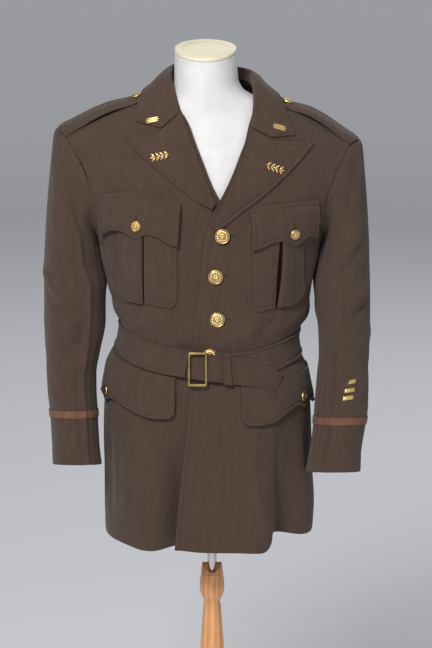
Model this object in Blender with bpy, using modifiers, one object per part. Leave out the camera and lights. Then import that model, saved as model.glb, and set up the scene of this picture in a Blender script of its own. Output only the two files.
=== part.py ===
"""Four-pocket service coat with its own cloth belt, buttoned on a limbless dress form.

Metres, +Z up. The origin is on the floor, at the centre of the wooden base. The front faces -Y,
so the wearer's left is +X. The outer face of the coat's body is one function of a turn round the
body (0 at the wearer's left side, 90 at the front, 180 at the right side, 270 at the back) and a
level, which is a height above the floor that the slope of the shoulders pulls down towards them.
Panels are stretches of that face, and what lies on a panel is the same face moved out.
"""
from math import acos, cos, degrees, pi, radians, sin, sqrt, tan

import bpy
from mathutils import Matrix, Vector
from mathutils.bvhtree import BVHTree

NAME = "service_coat"

# Walls and clearances
CLOTH = 0.0022
SEAM = 0.0003
LAID = 0.0010

# Levels of the body
HEM_LEVEL = 0.685
ARMPIT_LEVEL = 1.190
SLOPE_LEVEL = 1.090
NECK_SEAM_LEVEL = 1.445
TOP_LEVEL = 1.470
DOME_HEIGHT = 0.250
ROUNDING = 2.4

# Trim
BUTTON_RADIUS = 0.0125
SMALL_BUTTON_RADIUS = 0.0086
BELT_WIDTH = 0.046
BRAID_WIDTH = 0.0127
BRAID_ABOVE_CUFF = 0.076

# Stand
BASE_RADIUS = 0.170
BASE_HEIGHT = 0.028
POST_TOP = 0.620
POLE_RADIUS = 0.008
FORM_BOTTOM = 0.840
NECK_TOP = 1.506
NECK_TILT = 9.0


def table(names, *rows):
    """Columns of a short table by name; the first column is the one it is read along."""
    return dict(zip(names.split(), zip(*rows)))


RINGS = table(
    "level left right front back",
    (0.680, 0.172, -0.183, 0.152, 0.140),
    (0.735, 0.175, -0.184, 0.150, 0.139),
    (0.790, 0.172, -0.184, 0.146, 0.136),
    (0.850, 0.170, -0.185, 0.141, 0.131),
    (0.900, 0.168, -0.184, 0.137, 0.126),
    (0.940, 0.164, -0.180, 0.132, 0.120),
    (0.970, 0.157, -0.175, 0.127, 0.113),
    (1.000, 0.147, -0.164, 0.121, 0.104),
    (1.020, 0.144, -0.157, 0.118, 0.100),
    (1.045, 0.148, -0.154, 0.117, 0.098),
    (1.080, 0.161, -0.163, 0.119, 0.102),
    (1.120, 0.170, -0.177, 0.122, 0.108),
    (1.160, 0.179, -0.187, 0.125, 0.113),
    (1.190, 0.184, -0.1915, 0.126, 0.116),
    (1.250, 0.203, -0.212, 0.125, 0.117),
    (1.300, 0.228, -0.238, 0.122, 0.116),
    (1.360, 0.257, -0.268, 0.116, 0.113),
    (1.420, 0.280, -0.290, 0.108, 0.108),
    (1.470, 0.290, -0.300, 0.102, 0.104),
)
SHOULDERS = table(
    "x height",
    (-0.270, 1.370),
    (-0.258, 1.376),
    (-0.200, 1.399),
    (-0.150, 1.419),
    (-0.100, 1.439),
    (-0.070, 1.455),
    (-0.035, 1.467),
    (0.000, 1.470),
    (0.035, 1.463),
    (0.070, 1.449),
    (0.100, 1.430),
    (0.150, 1.409),
    (0.200, 1.382),
    (0.246, 1.357),
    (0.260, 1.350),
)
ARMHOLES = table(
    "level left_front left_back right_front right_back",
    (1.190, 0.1840, 0.1840, -0.1915, -0.1915),
    (1.230, 0.1850, 0.1880, -0.1920, -0.1950),
    (1.276, 0.1890, 0.1950, -0.1950, -0.2010),
    (1.305, 0.1945, 0.2010, -0.2015, -0.2080),
    (1.330, 0.2010, 0.2070, -0.2070, -0.2140),
    (1.354, 0.2060, 0.2130, -0.2135, -0.2200),
    (1.392, 0.2180, 0.2240, -0.2260, -0.2310),
    (1.440, 0.2295, 0.2330, -0.2435, -0.2460),
    (1.470, 0.2455, 0.2455, -0.2580, -0.2580),
)
OVER_EDGE = table(
    "level x",
    (0.680, -0.0625),
    (0.755, -0.0560),
    (0.821, -0.0490),
    (0.905, -0.0400),
    (0.964, -0.0360),
    (1.057, -0.0270),
    (1.159, -0.0180),
    (1.193, -0.0150),
    (1.240, -0.0035),
    (1.260, 0.0050),
    (1.278, 0.0150),
    (1.309, 0.0300),
    (1.334, 0.0400),
    (1.354, 0.0470),
    (1.376, 0.0550),
    (1.400, 0.0600),
    (1.425, 0.0670),
    (1.450, 0.0730),
    (1.470, 0.0765),
)
UNDER_EDGE = table(
    "level x",
    (0.680, -0.0170),
    (0.905, 0.0050),
    (1.057, 0.0170),
    (1.159, 0.0280),
    (1.200, 0.0360),
    (1.240, 0.0330),
    (1.262, 0.0230),
    (1.278, 0.0120),
    (1.307, -0.0030),
    (1.330, -0.0120),
    (1.370, -0.0280),
    (1.395, -0.0370),
    (1.412, -0.0460),
    (1.432, -0.0620),
    (1.452, -0.0700),
    (1.470, -0.0745),
)
HEM = table(
    "turn height",
    (0, 0.685),
    (25, 0.690),
    (43, 0.697),
    (55, 0.689),
    (66, 0.679),
    (90, 0.680),
    (104, 0.684),
    (119, 0.681),
    (150, 0.684),
    (180, 0.685),
    (225, 0.687),
    (270, 0.689),
    (315, 0.687),
    (360, 0.685),
)
# Folds of the skirt: where round the body, how wide, how far out at the hem, and where they start
FOLDS = (
    (43.0, 13.0, -0.040, 0.930),
    (64.0, 10.0, 0.014, 0.900),
    (120.0, 13.0, 0.010, 0.900),
    (212.0, 12.0, 0.008, 0.960),
    (238.0, 11.0, -0.014, 0.950),
    (262.0, 10.0, 0.008, 0.960),
    (292.0, 11.0, -0.012, 0.940),
    (318.0, 12.0, 0.010, 0.950),
)
UNDER_FOLDS = (
    (103.0, 8.5, -0.034, 0.960),
)

SLEEVES = {
    "left": table(
        "level outer inner middle deep",
        (0.808, 0.2500, 0.1575, -0.0980, 0.0520),
        (0.840, 0.2515, 0.1635, -0.0880, 0.0535),
        (0.873, 0.2570, 0.1695, -0.0760, 0.0555),
        (0.908, 0.2630, 0.1725, -0.0620, 0.0580),
        (0.930, 0.2640, 0.1745, -0.0520, 0.0595),
        (0.960, 0.2650, 0.1775, -0.0380, 0.0615),
        (0.995, 0.2660, 0.1810, -0.0230, 0.0645),
        (1.040, 0.2675, 0.1795, -0.0090, 0.0690),
        (1.070, 0.2680, 0.1740, -0.0040, 0.0710),
        (1.105, 0.2675, 0.1735, -0.0020, 0.0730),
        (1.150, 0.2660, 0.1840, 0.0000, 0.0740),
    ),
    "right": table(
        "level outer inner middle deep",
        (0.815, -0.2690, -0.1860, -0.0760, 0.0535),
        (0.840, -0.2700, -0.1895, -0.0680, 0.0545),
        (0.873, -0.2720, -0.1920, -0.0560, 0.0570),
        (0.908, -0.2750, -0.1940, -0.0430, 0.0590),
        (0.930, -0.2780, -0.1955, -0.0350, 0.0600),
        (0.960, -0.2800, -0.1960, -0.0240, 0.0620),
        (0.995, -0.2820, -0.1900, -0.0140, 0.0650),
        (1.050, -0.2840, -0.1800, -0.0060, 0.0700),
        (1.105, -0.2840, -0.1800, -0.0020, 0.0740),
        (1.150, -0.2830, -0.1905, 0.0000, 0.0750),
    ),
}
SIDES = {"left": 1.0, "right": -1.0}


def slopes(xs, ys):
    """Slope at each row of a table that lets no value overshoot its neighbours."""
    steps = [(ys[i + 1] - ys[i]) / (xs[i + 1] - xs[i]) for i in range(len(xs) - 1)]
    inner = [2 * a * b / (a + b) if a * b > 0 else 0.0 for a, b in zip(steps, steps[1:])]
    return [steps[0]] + inner + [steps[-1]]


def read(rows, column, at):
    """Value of a column at a place along the table's first column, on a smooth curve."""
    xs = rows[next(iter(rows))]
    ys = rows[column]
    key = column + " slopes"
    if key not in rows:
        rows[key] = slopes(xs, ys)
    at = min(max(at, xs[0]), xs[-1])
    i = max(k for k in range(len(xs) - 1) if xs[k] <= at)
    wide = xs[i + 1] - xs[i]
    t = (at - xs[i]) / wide
    bend = rows[key]
    return (
        ys[i] * (2 * t**3 - 3 * t**2 + 1)
        + ys[i + 1] * (3 * t**2 - 2 * t**3)
        + bend[i] * wide * (t**3 - 2 * t**2 + t)
        + bend[i + 1] * wide * (t**3 - t**2)
    )


def step(low, high, at):
    """0 below low, 1 above high, smooth between."""
    t = min(max((at - low) / (high - low), 0.0), 1.0)
    return t * t * (3 - 2 * t)


def power(value, exponent):
    """A power that keeps the sign of its base."""
    return abs(value) ** exponent * (1 if value >= 0 else -1)


def drop(x):
    """How far the shoulder line lies below the base of the neck."""
    return TOP_LEVEL - read(SHOULDERS, "height", x)


def slope(level):
    """Share of the shoulders' slope that a level takes, 0 at the chest and 1 at the top."""
    t = max(0.0, (level - SLOPE_LEVEL) / (TOP_LEVEL - SLOPE_LEVEL))
    return t * t


def dome(level, front):
    """Share of the body's depth that is left near the shoulder line."""
    t = min(max((TOP_LEVEL - level) / DOME_HEIGHT, 0.0), 1.0)
    fullness = 2.0 if front else 3.0
    return max(0.0, 1 - (1 - t) ** fullness) ** (1 / fullness)


def fold_push(turn, level, under):
    """How far the skirt's folds move the cloth out."""
    push = 0.0
    for at, wide, far, start in FOLDS + (UNDER_FOLDS if under else ()):
        fall = step(start, HEM_LEVEL - 0.03, level) if level < start else 0.0
        push += far * fall * 2.718 ** (-(((turn - at) / wide) ** 2))
    return push


def span(level):
    """Middle and half width of the body at a level."""
    left = read(RINGS, "left", level)
    right = read(RINGS, "right", level)
    return (left + right) / 2, (left - right) / 2


def body_point(turn, level, under=False):
    """Point of the coat body's outer face."""
    turn = turn % 360.0
    level = min(level, TOP_LEVEL)
    middle, half = span(level)
    side = power(cos(radians(turn)), 2 / ROUNDING)
    ahead = power(sin(radians(turn)), 2 / ROUNDING)
    front = turn < 180.0
    depth = read(RINGS, "front" if front else "back", level)
    x = half * side
    y = -depth * ahead * dome(level, front)
    push = fold_push(turn, level, under)
    if push:
        out = Vector((side / half, -ahead / depth, 0)).normalized()
        x += out.x * push
        y += out.y * push
    x += middle
    return Vector((x, y, level - drop(x) * slope(level)))


def place(turn, level, lift=0.0, under=False):
    """Point of the body's outer face, moved out by a lift."""
    here = body_point(turn, level, under)
    if lift == 0.0:
        return here
    across = body_point(turn + 0.6, level, under) - body_point(turn - 0.6, level, under)
    up = body_point(turn, level + 0.002, under) - body_point(turn, level - 0.002, under)
    out = across.cross(up).normalized()
    if out.dot(here - Vector((-0.005, 0, min(here.z, 1.30)))) < 0:
        out.negate()
    return here + out * lift


def turn_at(x, level, back=False):
    """Turn of the point of a level's ring that has this x."""
    middle, half = span(level)
    share = min(max((x - middle) / half, -1.0), 1.0)
    turn = degrees(acos(power(share, ROUNDING / 2)))
    return 360.0 - turn if back else turn


def level_of(x, z):
    """Level of the point of the body's face at this x and height."""
    level = z
    for _ in range(14):
        level = z + drop(x) * slope(level)
    return level


def on_front(x, z, lift=0.0, under=False):
    """Point of the body's front at this x and height, moved out by a lift."""
    level = level_of(x, z)
    return place(turn_at(x, level), level, lift, under)


def shoulder_height(x, y):
    """Height of the body's face over a place seen from above, near the shoulder line."""
    low = TOP_LEVEL - DOME_HEIGHT
    high = TOP_LEVEL
    for _ in range(40):
        level = (low + high) / 2
        far = abs(body_point(turn_at(x, level, y > 0), level).y)
        if far > abs(y):
            low = level
        else:
            high = level
    return low - drop(x) * slope(low)


def on_shoulder(x, y, lift=0.0):
    """Point of the body's face over a place seen from above, moved out by a lift."""
    here = Vector((x, y, shoulder_height(x, y)))
    nudge = 0.002
    rise_x = (shoulder_height(x + nudge, y) - shoulder_height(x - nudge, y)) / (2 * nudge)
    rise_y = (shoulder_height(x, y + nudge) - shoulder_height(x, y - nudge)) / (2 * nudge)
    return here + Vector((-rise_x, -rise_y, 1)).normalized() * lift


def spread(start, end, count, edge=0.02):
    """Values from start to end, with a narrow first and last interval."""
    inner = [edge + (1 - 2 * edge) * i / (count - 3) for i in range(count - 2)]
    return [start + (end - start) * t for t in [0.0] + inner + [1.0]]


def along(points, count, edge=0.0):
    """Points evenly spaced along a line through the given ones."""
    points = [Vector(point) for point in points]
    lengths = [0.0]
    for a, b in zip(points, points[1:]):
        lengths.append(lengths[-1] + (b - a).length)
    rows = {"length": lengths}
    for axis in range(len(points[0])):
        rows[str(axis)] = [point[axis] for point in points]
    shares = spread(0, 1, count, edge) if edge else [i / (count - 1) for i in range(count)]
    size = len(points[0])
    return [Vector([read(rows, str(k), t * lengths[-1]) for k in range(size)]) for t in shares]


def material(name, colour, roughness, metallic=0.0):
    """Principled material."""
    made = bpy.data.materials.new(name)
    made.use_nodes = True
    shader = made.node_tree.nodes["Principled BSDF"]
    shader.inputs["Base Color"].default_value = (*colour, 1.0)
    shader.inputs["Roughness"].default_value = roughness
    shader.inputs["Metallic"].default_value = metallic
    return made


FINISHES = {
    "cloth": ((0.074, 0.052, 0.038), 0.88, 0.0),
    "braid": ((0.150, 0.075, 0.045), 0.80, 0.0),
    "gilt": ((0.780, 0.520, 0.200), 0.32, 1.0),
    "brass": ((0.560, 0.400, 0.160), 0.38, 1.0),
    "gold_thread": ((0.720, 0.520, 0.190), 0.50, 0.4),
    "form": ((0.800, 0.790, 0.790), 0.70, 0.0),
    "cap": ((0.820, 0.760, 0.560), 0.60, 0.0),
    "chrome": ((0.780, 0.780, 0.790), 0.15, 1.0),
    "wood": ((0.700, 0.400, 0.190), 0.45, 0.0),
}


def finish(made, slot):
    """Give an object a material of its own."""
    made.data.materials.append(material(made.name, *FINISHES[slot]))
    return made


def add_mesh(name, vertices, faces):
    """Mesh object in the part's collection."""
    mesh = bpy.data.meshes.new(name)
    mesh.from_pydata([tuple(v) for v in vertices], [], faces)
    mesh.validate()
    made = bpy.data.objects.new(name, mesh)
    bpy.data.collections[NAME].objects.link(made)
    mesh.shade_smooth()
    mesh.set_sharp_from_angle(angle=radians(40))
    return made


def sheet(name, rows, core, slot="cloth", thick=CLOTH, outward=False, ring=False):
    """Cloth wall from a grid of points; core is a point on its inner side."""
    count = len(rows[0])
    vertices = [point for row in rows for point in row]
    faces = []
    for j in range(len(rows) - 1):
        for i in range(count if ring else count - 1):
            k = (i + 1) % count
            faces.append((j * count + i, j * count + k, (j + 1) * count + k, (j + 1) * count + i))
    middle = faces[(len(rows) - 1) // 2 * (count if ring else count - 1) + count // 2]
    a, b, c, d = [vertices[i] for i in middle]
    if (c - a).cross(d - b).dot((a + c) / 2 - Vector(core)) < 0:
        faces = [face[::-1] for face in faces]
    made = finish(add_mesh(name, vertices, faces), slot)
    wall = made.modifiers.new("wall", "SOLIDIFY")
    wall.thickness = thick
    wall.offset = 1.0 if outward else -1.0
    return made


def closed_loft(name, rings, slot):
    """Closed solid through rings of equal count, from the bottom one to the top one."""
    count = len(rings[0])
    vertices = [point for ring in rings for point in ring]
    faces = [tuple(range(count))[::-1]]
    for j in range(len(rings) - 1):
        for i in range(count):
            k = (i + 1) % count
            faces.append((j * count + i, j * count + k, (j + 1) * count + k, (j + 1) * count + i))
    last = (len(rings) - 1) * count
    faces.append(tuple(range(last, last + count)))
    return finish(add_mesh(name, vertices, faces), slot)


def turned(name, profile, slot, sides=24):
    """Turned solid about its own Z; the profile runs down from the axis to the axis."""
    made = add_mesh(name, [], [])
    edges = [(i, i + 1) for i in range(len(profile) - 1)]
    made.data.from_pydata([(r, 0, z) for r, z in profile], edges, [])
    screw = made.modifiers.new("turn", "SCREW")
    screw.steps = sides
    screw.render_steps = sides
    screw.use_merge_vertices = True
    screw.merge_threshold = 0.00001
    screw.use_smooth_shade = True
    return finish(made, slot)


CORE = (-0.005, 0.0, 1.15)


def body_levels():
    """Levels of the panels' rows up to the shoulder, close together at the hem and armpit."""
    skirt = [HEM_LEVEL, HEM_LEVEL + 0.004, 0.74, 0.80, 0.86, 0.91, 0.950, 0.982]
    chest = [1.008, 1.030, 1.052, 1.085, 1.135, ARMPIT_LEVEL]
    arm = [1.197, 1.218, 1.255, 1.305]
    return skirt + chest + arm


def front_levels():
    """Levels of a front's rows, up to the shoulder seam."""
    ahead = (0.84, 0.70, 0.53, 0.34, 0.15, 0.03)
    dome_levels = [TOP_LEVEL - DOME_HEIGHT * (1 - sqrt(1 - s * s)) for s in ahead]
    return body_levels() + dome_levels + [TOP_LEVEL - 3e-7]


def back_levels():
    """Levels of a back's rows, with one at the neckline."""
    near_seam = [1.4530, 1.4605, 1.4665, 1.4694, TOP_LEVEL - 1e-9]
    return body_levels() + [1.355, 1.405, NECK_SEAM_LEVEL] + near_seam


def hem_shift(turn, level):
    """How far the uneven hem moves a level, fading out towards the waist."""
    fade = 1 - step(HEM_LEVEL, 0.98, level)
    return (read(HEM, "height", turn % 360.0) - HEM_LEVEL) * fade


def under_lift(x, level):
    """The under panel lies below the over panel where they overlap."""
    edge = read(OVER_EDGE, "x", level)
    return -(CLOTH + 1.4 * LAID) * step(edge - 0.036, edge - 0.010, x)


def front_panel(side):
    """One front, from its edge and roll line round to the side seam and armhole."""
    over = side == "left"
    edge = OVER_EDGE if over else UNDER_EDGE
    side_turn = 0.12 if over else 179.88
    rows = []
    for level in front_levels():
        start = turn_at(read(edge, "x", level), level)
        end = side_turn
        if level > ARMPIT_LEVEL:
            end = turn_at(read(ARMHOLES, side + "_front", level), level)
        row = []
        for turn in spread(start, end, 12):
            height = level + hem_shift(turn, level)
            lift = 0.0 if over else under_lift(body_point(turn, height).x, height)
            row.append(place(turn, height, lift, under=not over))
        rows.append(row)
    return sheet("front_" + side, rows, CORE)


def back_panel(side):
    """One back, from the centre seam and neckline round to the side seam and armhole."""
    rows = []
    neckline = table("level x", (NECK_SEAM_LEVEL, 0.0), (1.453, 0.036), (1.462, 0.060), (TOP_LEVEL, 0.0765))
    toward = SIDES[side]
    side_turn = 359.88 if side == "left" else 180.12
    for level in back_levels():
        middle = span(level)[0]
        inner = middle + toward * 0.0002
        if level > NECK_SEAM_LEVEL:
            inner += toward * read(neckline, "x", level)
        start = turn_at(inner, level, back=True)
        end = side_turn
        if level > ARMPIT_LEVEL:
            end = turn_at(read(ARMHOLES, side + "_back", level), level, back=True)
        row = []
        for turn in spread(start, end, 10):
            row.append(place(turn, level + hem_shift(turn, level)))
        rows.append(row)
    return sheet("back_" + side, rows, CORE)


def armhole_point(side, share):
    """Point of the armhole, from the shoulder tip forward and round under the arm."""
    middle = (TOP_LEVEL + ARMPIT_LEVEL) / 2
    half = (TOP_LEVEL - ARMPIT_LEVEL) / 2
    level = middle + half * cos(2 * pi * share)
    back = share % 1.0 > 0.5
    x = read(ARMHOLES, side + ("_back" if back else "_front"), level)
    return turn_at(x, level, back), level


def armhole_frame(side, share):
    """Point of the armhole and the way that the body's face runs on past it."""
    turn, level = armhole_point(side, share)
    here = body_point(turn, level)
    before = body_point(*armhole_point(side, share - 0.01))
    after = body_point(*armhole_point(side, share + 0.01))
    normal = place(turn, level, 0.01) - here
    out = normal.cross(after - before).normalized() * SIDES[side]
    return here, out


def armhole_shares():
    """Places round the armhole, at the same levels as the rows of the panels that meet it."""
    middle = (TOP_LEVEL + ARMPIT_LEVEL) / 2
    half = (TOP_LEVEL - ARMPIT_LEVEL) / 2

    def share_of(level):
        return acos(min(max((level - middle) / half, -1.0), 1.0)) / (2 * pi)

    front = [share_of(level) for level in front_levels() if level > ARMPIT_LEVEL]
    back = [1 - share_of(level) for level in back_levels() if level > ARMPIT_LEVEL]
    return sorted(front + [0.5] + back)


def armhole_edge(side, share):
    """The same for any place round the armhole, straight between the panels' rows."""
    stops = armhole_shares()
    stops = [stops[-1] - 1] + stops + [stops[0] + 1]
    wrapped = share % 1.0
    low = max(stop for stop in stops if stop <= wrapped)
    high = min(stop for stop in stops if stop > wrapped)
    a, out_a = armhole_frame(side, low)
    b, out_b = armhole_frame(side, high)
    t = (wrapped - low) / (high - low)
    return a.lerp(b, t), out_a.lerp(out_b, t).normalized()


def sleeve_ring(side, share, level):
    """Point of a sleeve's outer face below the armpit."""
    rows = SLEEVES[side]
    outer = read(rows, "outer", level)
    inner = read(rows, "inner", level)
    middle = read(rows, "middle", level)
    deep = read(rows, "deep", level)
    x = (outer + inner) / 2 + (outer - inner) / 2 * power(cos(2 * pi * share), 0.88)
    y = middle - deep * power(sin(2 * pi * share), 0.88)
    tilt = 0.22 * (1 - step(0.84, 1.02, level))
    return Vector((x, y, level + tilt * (middle - y)))


FRONT_SEAM_SHARE = 0.40
BACK_SEAM_SHARE = 0.66
SEAM_SHARE = 0.0008


def cuff_level(side):
    """Level of a sleeve's lower edge."""
    return SLEEVES[side]["level"][0]


def sleeve_column(side, share):
    """Points down a sleeve's outer face, from the armhole seam to the cuff."""
    toward = SIDES[side]
    here, out = armhole_edge(side, share)
    first = here + out * SEAM
    second = here + out * 0.004
    target = sleeve_ring(side, share, 1.150)
    high = (1 + cos(2 * pi * share)) / 2
    start = out * (0.018 + 0.030 * abs(sin(2 * pi * share))) + Vector((toward * 0.034 * (1 - high) ** 2, 0, 0))
    end = Vector((0, 0, -0.05 - 0.10 * high))
    points = [first, second]
    for t in (0.18, 0.40, 0.68):
        a = second * (2 * t**3 - 3 * t**2 + 1) + start * (t**3 - 2 * t**2 + t)
        b = target * (3 * t**2 - 2 * t**3) + end * (t**3 - t**2)
        points.append(a + b)
    cuff = cuff_level(side)
    for level in (1.150, 1.090, 1.035, 0.990, 0.945, 0.885, cuff + 0.004, cuff):
        points.append(sleeve_ring(side, share, level))
    return points


def sleeve(side):
    """Top and under pieces of a two-piece sleeve, with their seams at the front and the elbow."""
    core = sleeve_ring(side, 0.0, 1.0).lerp(sleeve_ring(side, 0.5, 1.0), 0.5)
    shares = armhole_shares()
    front = min(shares, key=lambda share: abs(share - FRONT_SEAM_SHARE))
    back = min(shares, key=lambda share: abs(share - BACK_SEAM_SHARE))
    top = [share - 1 for share in shares if share > back]
    top += [share for share in shares if share < front]
    under = [share for share in shares if front < share < back]
    pieces = (("top", back - 1, top, front), ("under", front, under, back))
    for piece, start, inner, end in pieces:
        inner = [share for share in inner if start + 0.012 < share < end - 0.012]
        places = [start + SEAM_SHARE, start + 0.006] + inner + [end - 0.006, end - SEAM_SHARE]
        columns = [sleeve_column(side, share) for share in places]
        rows = [list(row) for row in zip(*columns)]
        sheet(f"sleeve_{side}_{piece}", rows, core)


BRAID_SIDES = 30


def braid(side):
    """Flat braid round a cuff."""
    low = cuff_level(side) + BRAID_ABOVE_CUFF
    core = sleeve_ring(side, 0.0, low).lerp(sleeve_ring(side, 0.5, low), 0.5)
    rows = []
    for level in (low, low + BRAID_WIDTH):
        middle = sleeve_ring(side, 0.0, level).lerp(sleeve_ring(side, 0.5, level), 0.5)
        row = []
        for i in range(BRAID_SIDES):
            point = sleeve_ring(side, i / BRAID_SIDES, level)
            out = Vector((point.x - middle.x, point.y - middle.y, 0)).normalized()
            row.append(point + out * (LAID + 0.0004))
        rows.append(row)
    sheet("braid_" + side, rows, core, slot="braid", thick=0.0010, outward=True, ring=True)


LAPELS = {
    "right": (
        ((0.0040, 1.2680), (0.0005, 1.2780), (-0.0120, 1.3070), (-0.0200, 1.3300), (-0.0360, 1.3700),
         (-0.0455, 1.3950), (-0.0520, 1.4120)),
        ((0.0010, 1.2600), (-0.0200, 1.2700), (-0.0450, 1.2860), (-0.0860, 1.3190), (-0.1200, 1.3460),
         (-0.1470, 1.3720)),
        (-0.0850, 1.3810),
    ),
    "left": (
        ((0.0005, 1.2330), (0.0120, 1.2580), (0.0215, 1.2780), (0.0365, 1.3090), (0.0465, 1.3340),
         (0.0560, 1.3560), (0.0625, 1.3755), (0.0652, 1.3866)),
        ((0.0060, 1.2240), (0.0180, 1.2300), (0.0460, 1.2520), (0.0800, 1.2760), (0.1130, 1.3030),
         (0.1460, 1.3340), (0.1690, 1.3590)),
        (0.0985, 1.3660),
    ),
}
GORGE_BEND = 0.45


def lapel(side):
    """Lapel, from the roll line to its edge, with the gorge seam and notch at its top."""
    roll, edge, notch = LAPELS[side]
    count = 10
    starts = along(roll, count, edge=0.02)
    ends = along(edge, count, edge=0.02)
    places = spread(0, 1, count, 0.02)
    bend = Vector(notch) - starts[-1].lerp(ends[-1], GORGE_BEND)
    rows = []
    for j in range(count):
        share = max(0.0, (places[j] - 0.5) / 0.5)
        row = []
        for t in spread(0, 1, 8, 0.04):
            spot = starts[j].lerp(ends[j], t)
            hump = t / GORGE_BEND if t < GORGE_BEND else (1 - t) / (1 - GORGE_BEND)
            spot += bend * hump * share**2
            lift = LAID + 0.0002 + 0.0007 * j / count
            row.append(on_front(spot.x, spot.y, lift, under=side == "right"))
        rows.append(row)
    sheet("lapel_" + side, rows, CORE, outward=True)


# The collar's stations run from its front end on the right, round the back, to its left end:
# its roll edge in space, its outer edge as seen from above, and how high it lies on the coat
COLLAR = table(
    "station roll_x roll_y roll_z edge_x edge_y lift",
    (0.00, -0.0520, -0.0660, 1.4135, -0.1240, -0.0570, 0.0012),
    (0.14, -0.0630, -0.0420, 1.4440, -0.1215, -0.0360, 0.0030),
    (0.26, -0.0705, -0.0100, 1.4680, -0.1125, -0.0020, 0.0056),
    (0.36, -0.0660, 0.0330, 1.4765, -0.0930, 0.0400, 0.0050),
    (0.44, -0.0360, 0.0610, 1.4780, -0.0500, 0.0740, 0.0030),
    (0.50, 0.0000, 0.0690, 1.4750, 0.0000, 0.0830, 0.0030),
    (0.56, 0.0360, 0.0610, 1.4710, 0.0500, 0.0740, 0.0030),
    (0.64, 0.0670, 0.0330, 1.4660, 0.0930, 0.0400, 0.0050),
    (0.74, 0.0715, -0.0100, 1.4540, 0.1100, -0.0040, 0.0056),
    (0.86, 0.0700, -0.0480, 1.4220, 0.1235, -0.0390, 0.0030),
    (1.00, 0.0655, -0.0800, 1.3895, 0.1390, -0.0625, 0.0012),
)
NOTCHES = ((-0.0830, 1.3872), (0.0975, 1.3716))


def collar_fall():
    """Collar's fall, over the coat's neckline and shoulders."""
    rows = []
    shares = (0.0, 0.05, 0.25, 0.48, 0.74, 0.95, 1.0)
    for station in spread(0, 1, 27, 0.008):
        roll = Vector([read(COLLAR, "roll_" + axis, station) for axis in "xyz"])
        lift = read(COLLAR, "lift", station)
        edge = on_shoulder(read(COLLAR, "edge_x", station), read(COLLAR, "edge_y", station), lift)
        near = max(0.0, 1 - min(station, 1 - station) / 0.14) ** 2
        notch = on_front(*NOTCHES[0 if station < 0.5 else 1], lift)
        bend = notch - roll.lerp(edge, 0.48)
        row = []
        for t in shares:
            spot = roll.lerp(edge, t)
            hump = t / 0.48 if t < 0.48 else (1 - t) / 0.52
            spot += bend * hump * near
            floor = on_shoulder(spot.x, spot.y, lift)
            spot.z = max(spot.z + 0.004 * sin(pi * t) * (1 - near), floor.z)
            row.append(spot)
        rows.append(row)
    return sheet("collar_fall", rows, (0, 0, 1.36), outward=True)


STAND = table(
    "station x y top bottom",
    (0.00, -0.0655, -0.0200, 1.4570, 1.4500),
    (0.16, -0.0655, -0.0050, 1.4640, 1.4520),
    (0.30, -0.0625, 0.0290, 1.4710, 1.4540),
    (0.42, -0.0350, 0.0555, 1.4730, 1.4555),
    (0.50, 0.0000, 0.0625, 1.4700, 1.4550),
    (0.58, 0.0350, 0.0555, 1.4660, 1.4520),
    (0.70, 0.0630, 0.0290, 1.4610, 1.4480),
    (0.84, 0.0680, -0.0050, 1.4510, 1.4400),
    (1.00, 0.0685, -0.0220, 1.4430, 1.4360),
)


def collar_stand():
    """Collar's stand, the wall round the neck inside the fall."""
    rows = []
    for station in spread(0, 1, 17, 0.015):
        x = read(STAND, "x", station)
        y = read(STAND, "y", station)
        top = read(STAND, "top", station)
        bottom = read(STAND, "bottom", station)
        rows.append([Vector((x, y, top + (bottom - top) * t)) for t in (0.0, 0.1, 0.9, 1.0)])
    return sheet("collar_stand", rows, (0, 0.0, 1.44), thick=0.0020, outward=True)


# Straps: how far ahead of and behind the shoulder line each end reaches, and the neck end's x
STRAPS = table(
    "share front back",
    (0.0, -0.0330, 0.0150),
    (1.0, -0.0270, 0.0110),
)
STRAP_NECK = {"left": 0.1030, "right": -0.1030}
STRAP_BUTTON_X = {"left": 0.1255, "right": -0.1255}
STRAP_RISE = 0.0055


def armhole_x(side, y):
    """Where the armhole lies, near the shoulder tip, at this distance ahead of or behind it."""
    low = 1.36
    high = TOP_LEVEL
    column = side + ("_back" if y > 0 else "_front")
    for _ in range(40):
        level = (low + high) / 2
        point = body_point(turn_at(read(ARMHOLES, column, level), level, y > 0), level)
        if abs(point.y) > abs(y):
            low = level
        else:
            high = level
    return point.x


def strap(side):
    """Shoulder strap, from the sleeve head seam to under the collar."""
    rows = []
    for t in spread(0, 1, 10, 0.015):
        low = read(STRAPS, "front", t)
        high = read(STRAPS, "back", t)
        middle = (low + high) / 2
        point = step(0.90, 1.0, t) * 0.45
        rise = LAID + STRAP_RISE * step(0.05, 0.45, t) * (1 - step(0.55, 0.80, t))
        row = []
        for y in spread(low + (middle - low) * point, high + (middle - high) * point, 6, 0.05):
            tip = armhole_x(side, y) - SIDES[side] * 0.0025
            row.append(on_shoulder(tip + (STRAP_NECK[side] - tip) * t, y, rise))
        rows.append(row)
    return sheet("strap_" + side, rows, CORE, outward=True)


def rounded_bottom(inner, outer, corner, count=4):
    """Bottom edge of a pocket with rounded corners, from its inner side to its outer side."""
    toward = 1 if outer[0] > inner[0] else -1
    points = []
    for i in range(count):
        angle = pi / 2 * i / (count - 1)
        points.append((inner[0] + toward * corner * (1 - cos(angle)), inner[1] + corner * (1 - sin(angle))))
    for i in range(count):
        angle = pi / 2 * (1 - i / (count - 1))
        points.append((outer[0] - toward * corner * (1 - cos(angle)), outer[1] + corner * (1 - sin(angle))))
    return points


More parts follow.
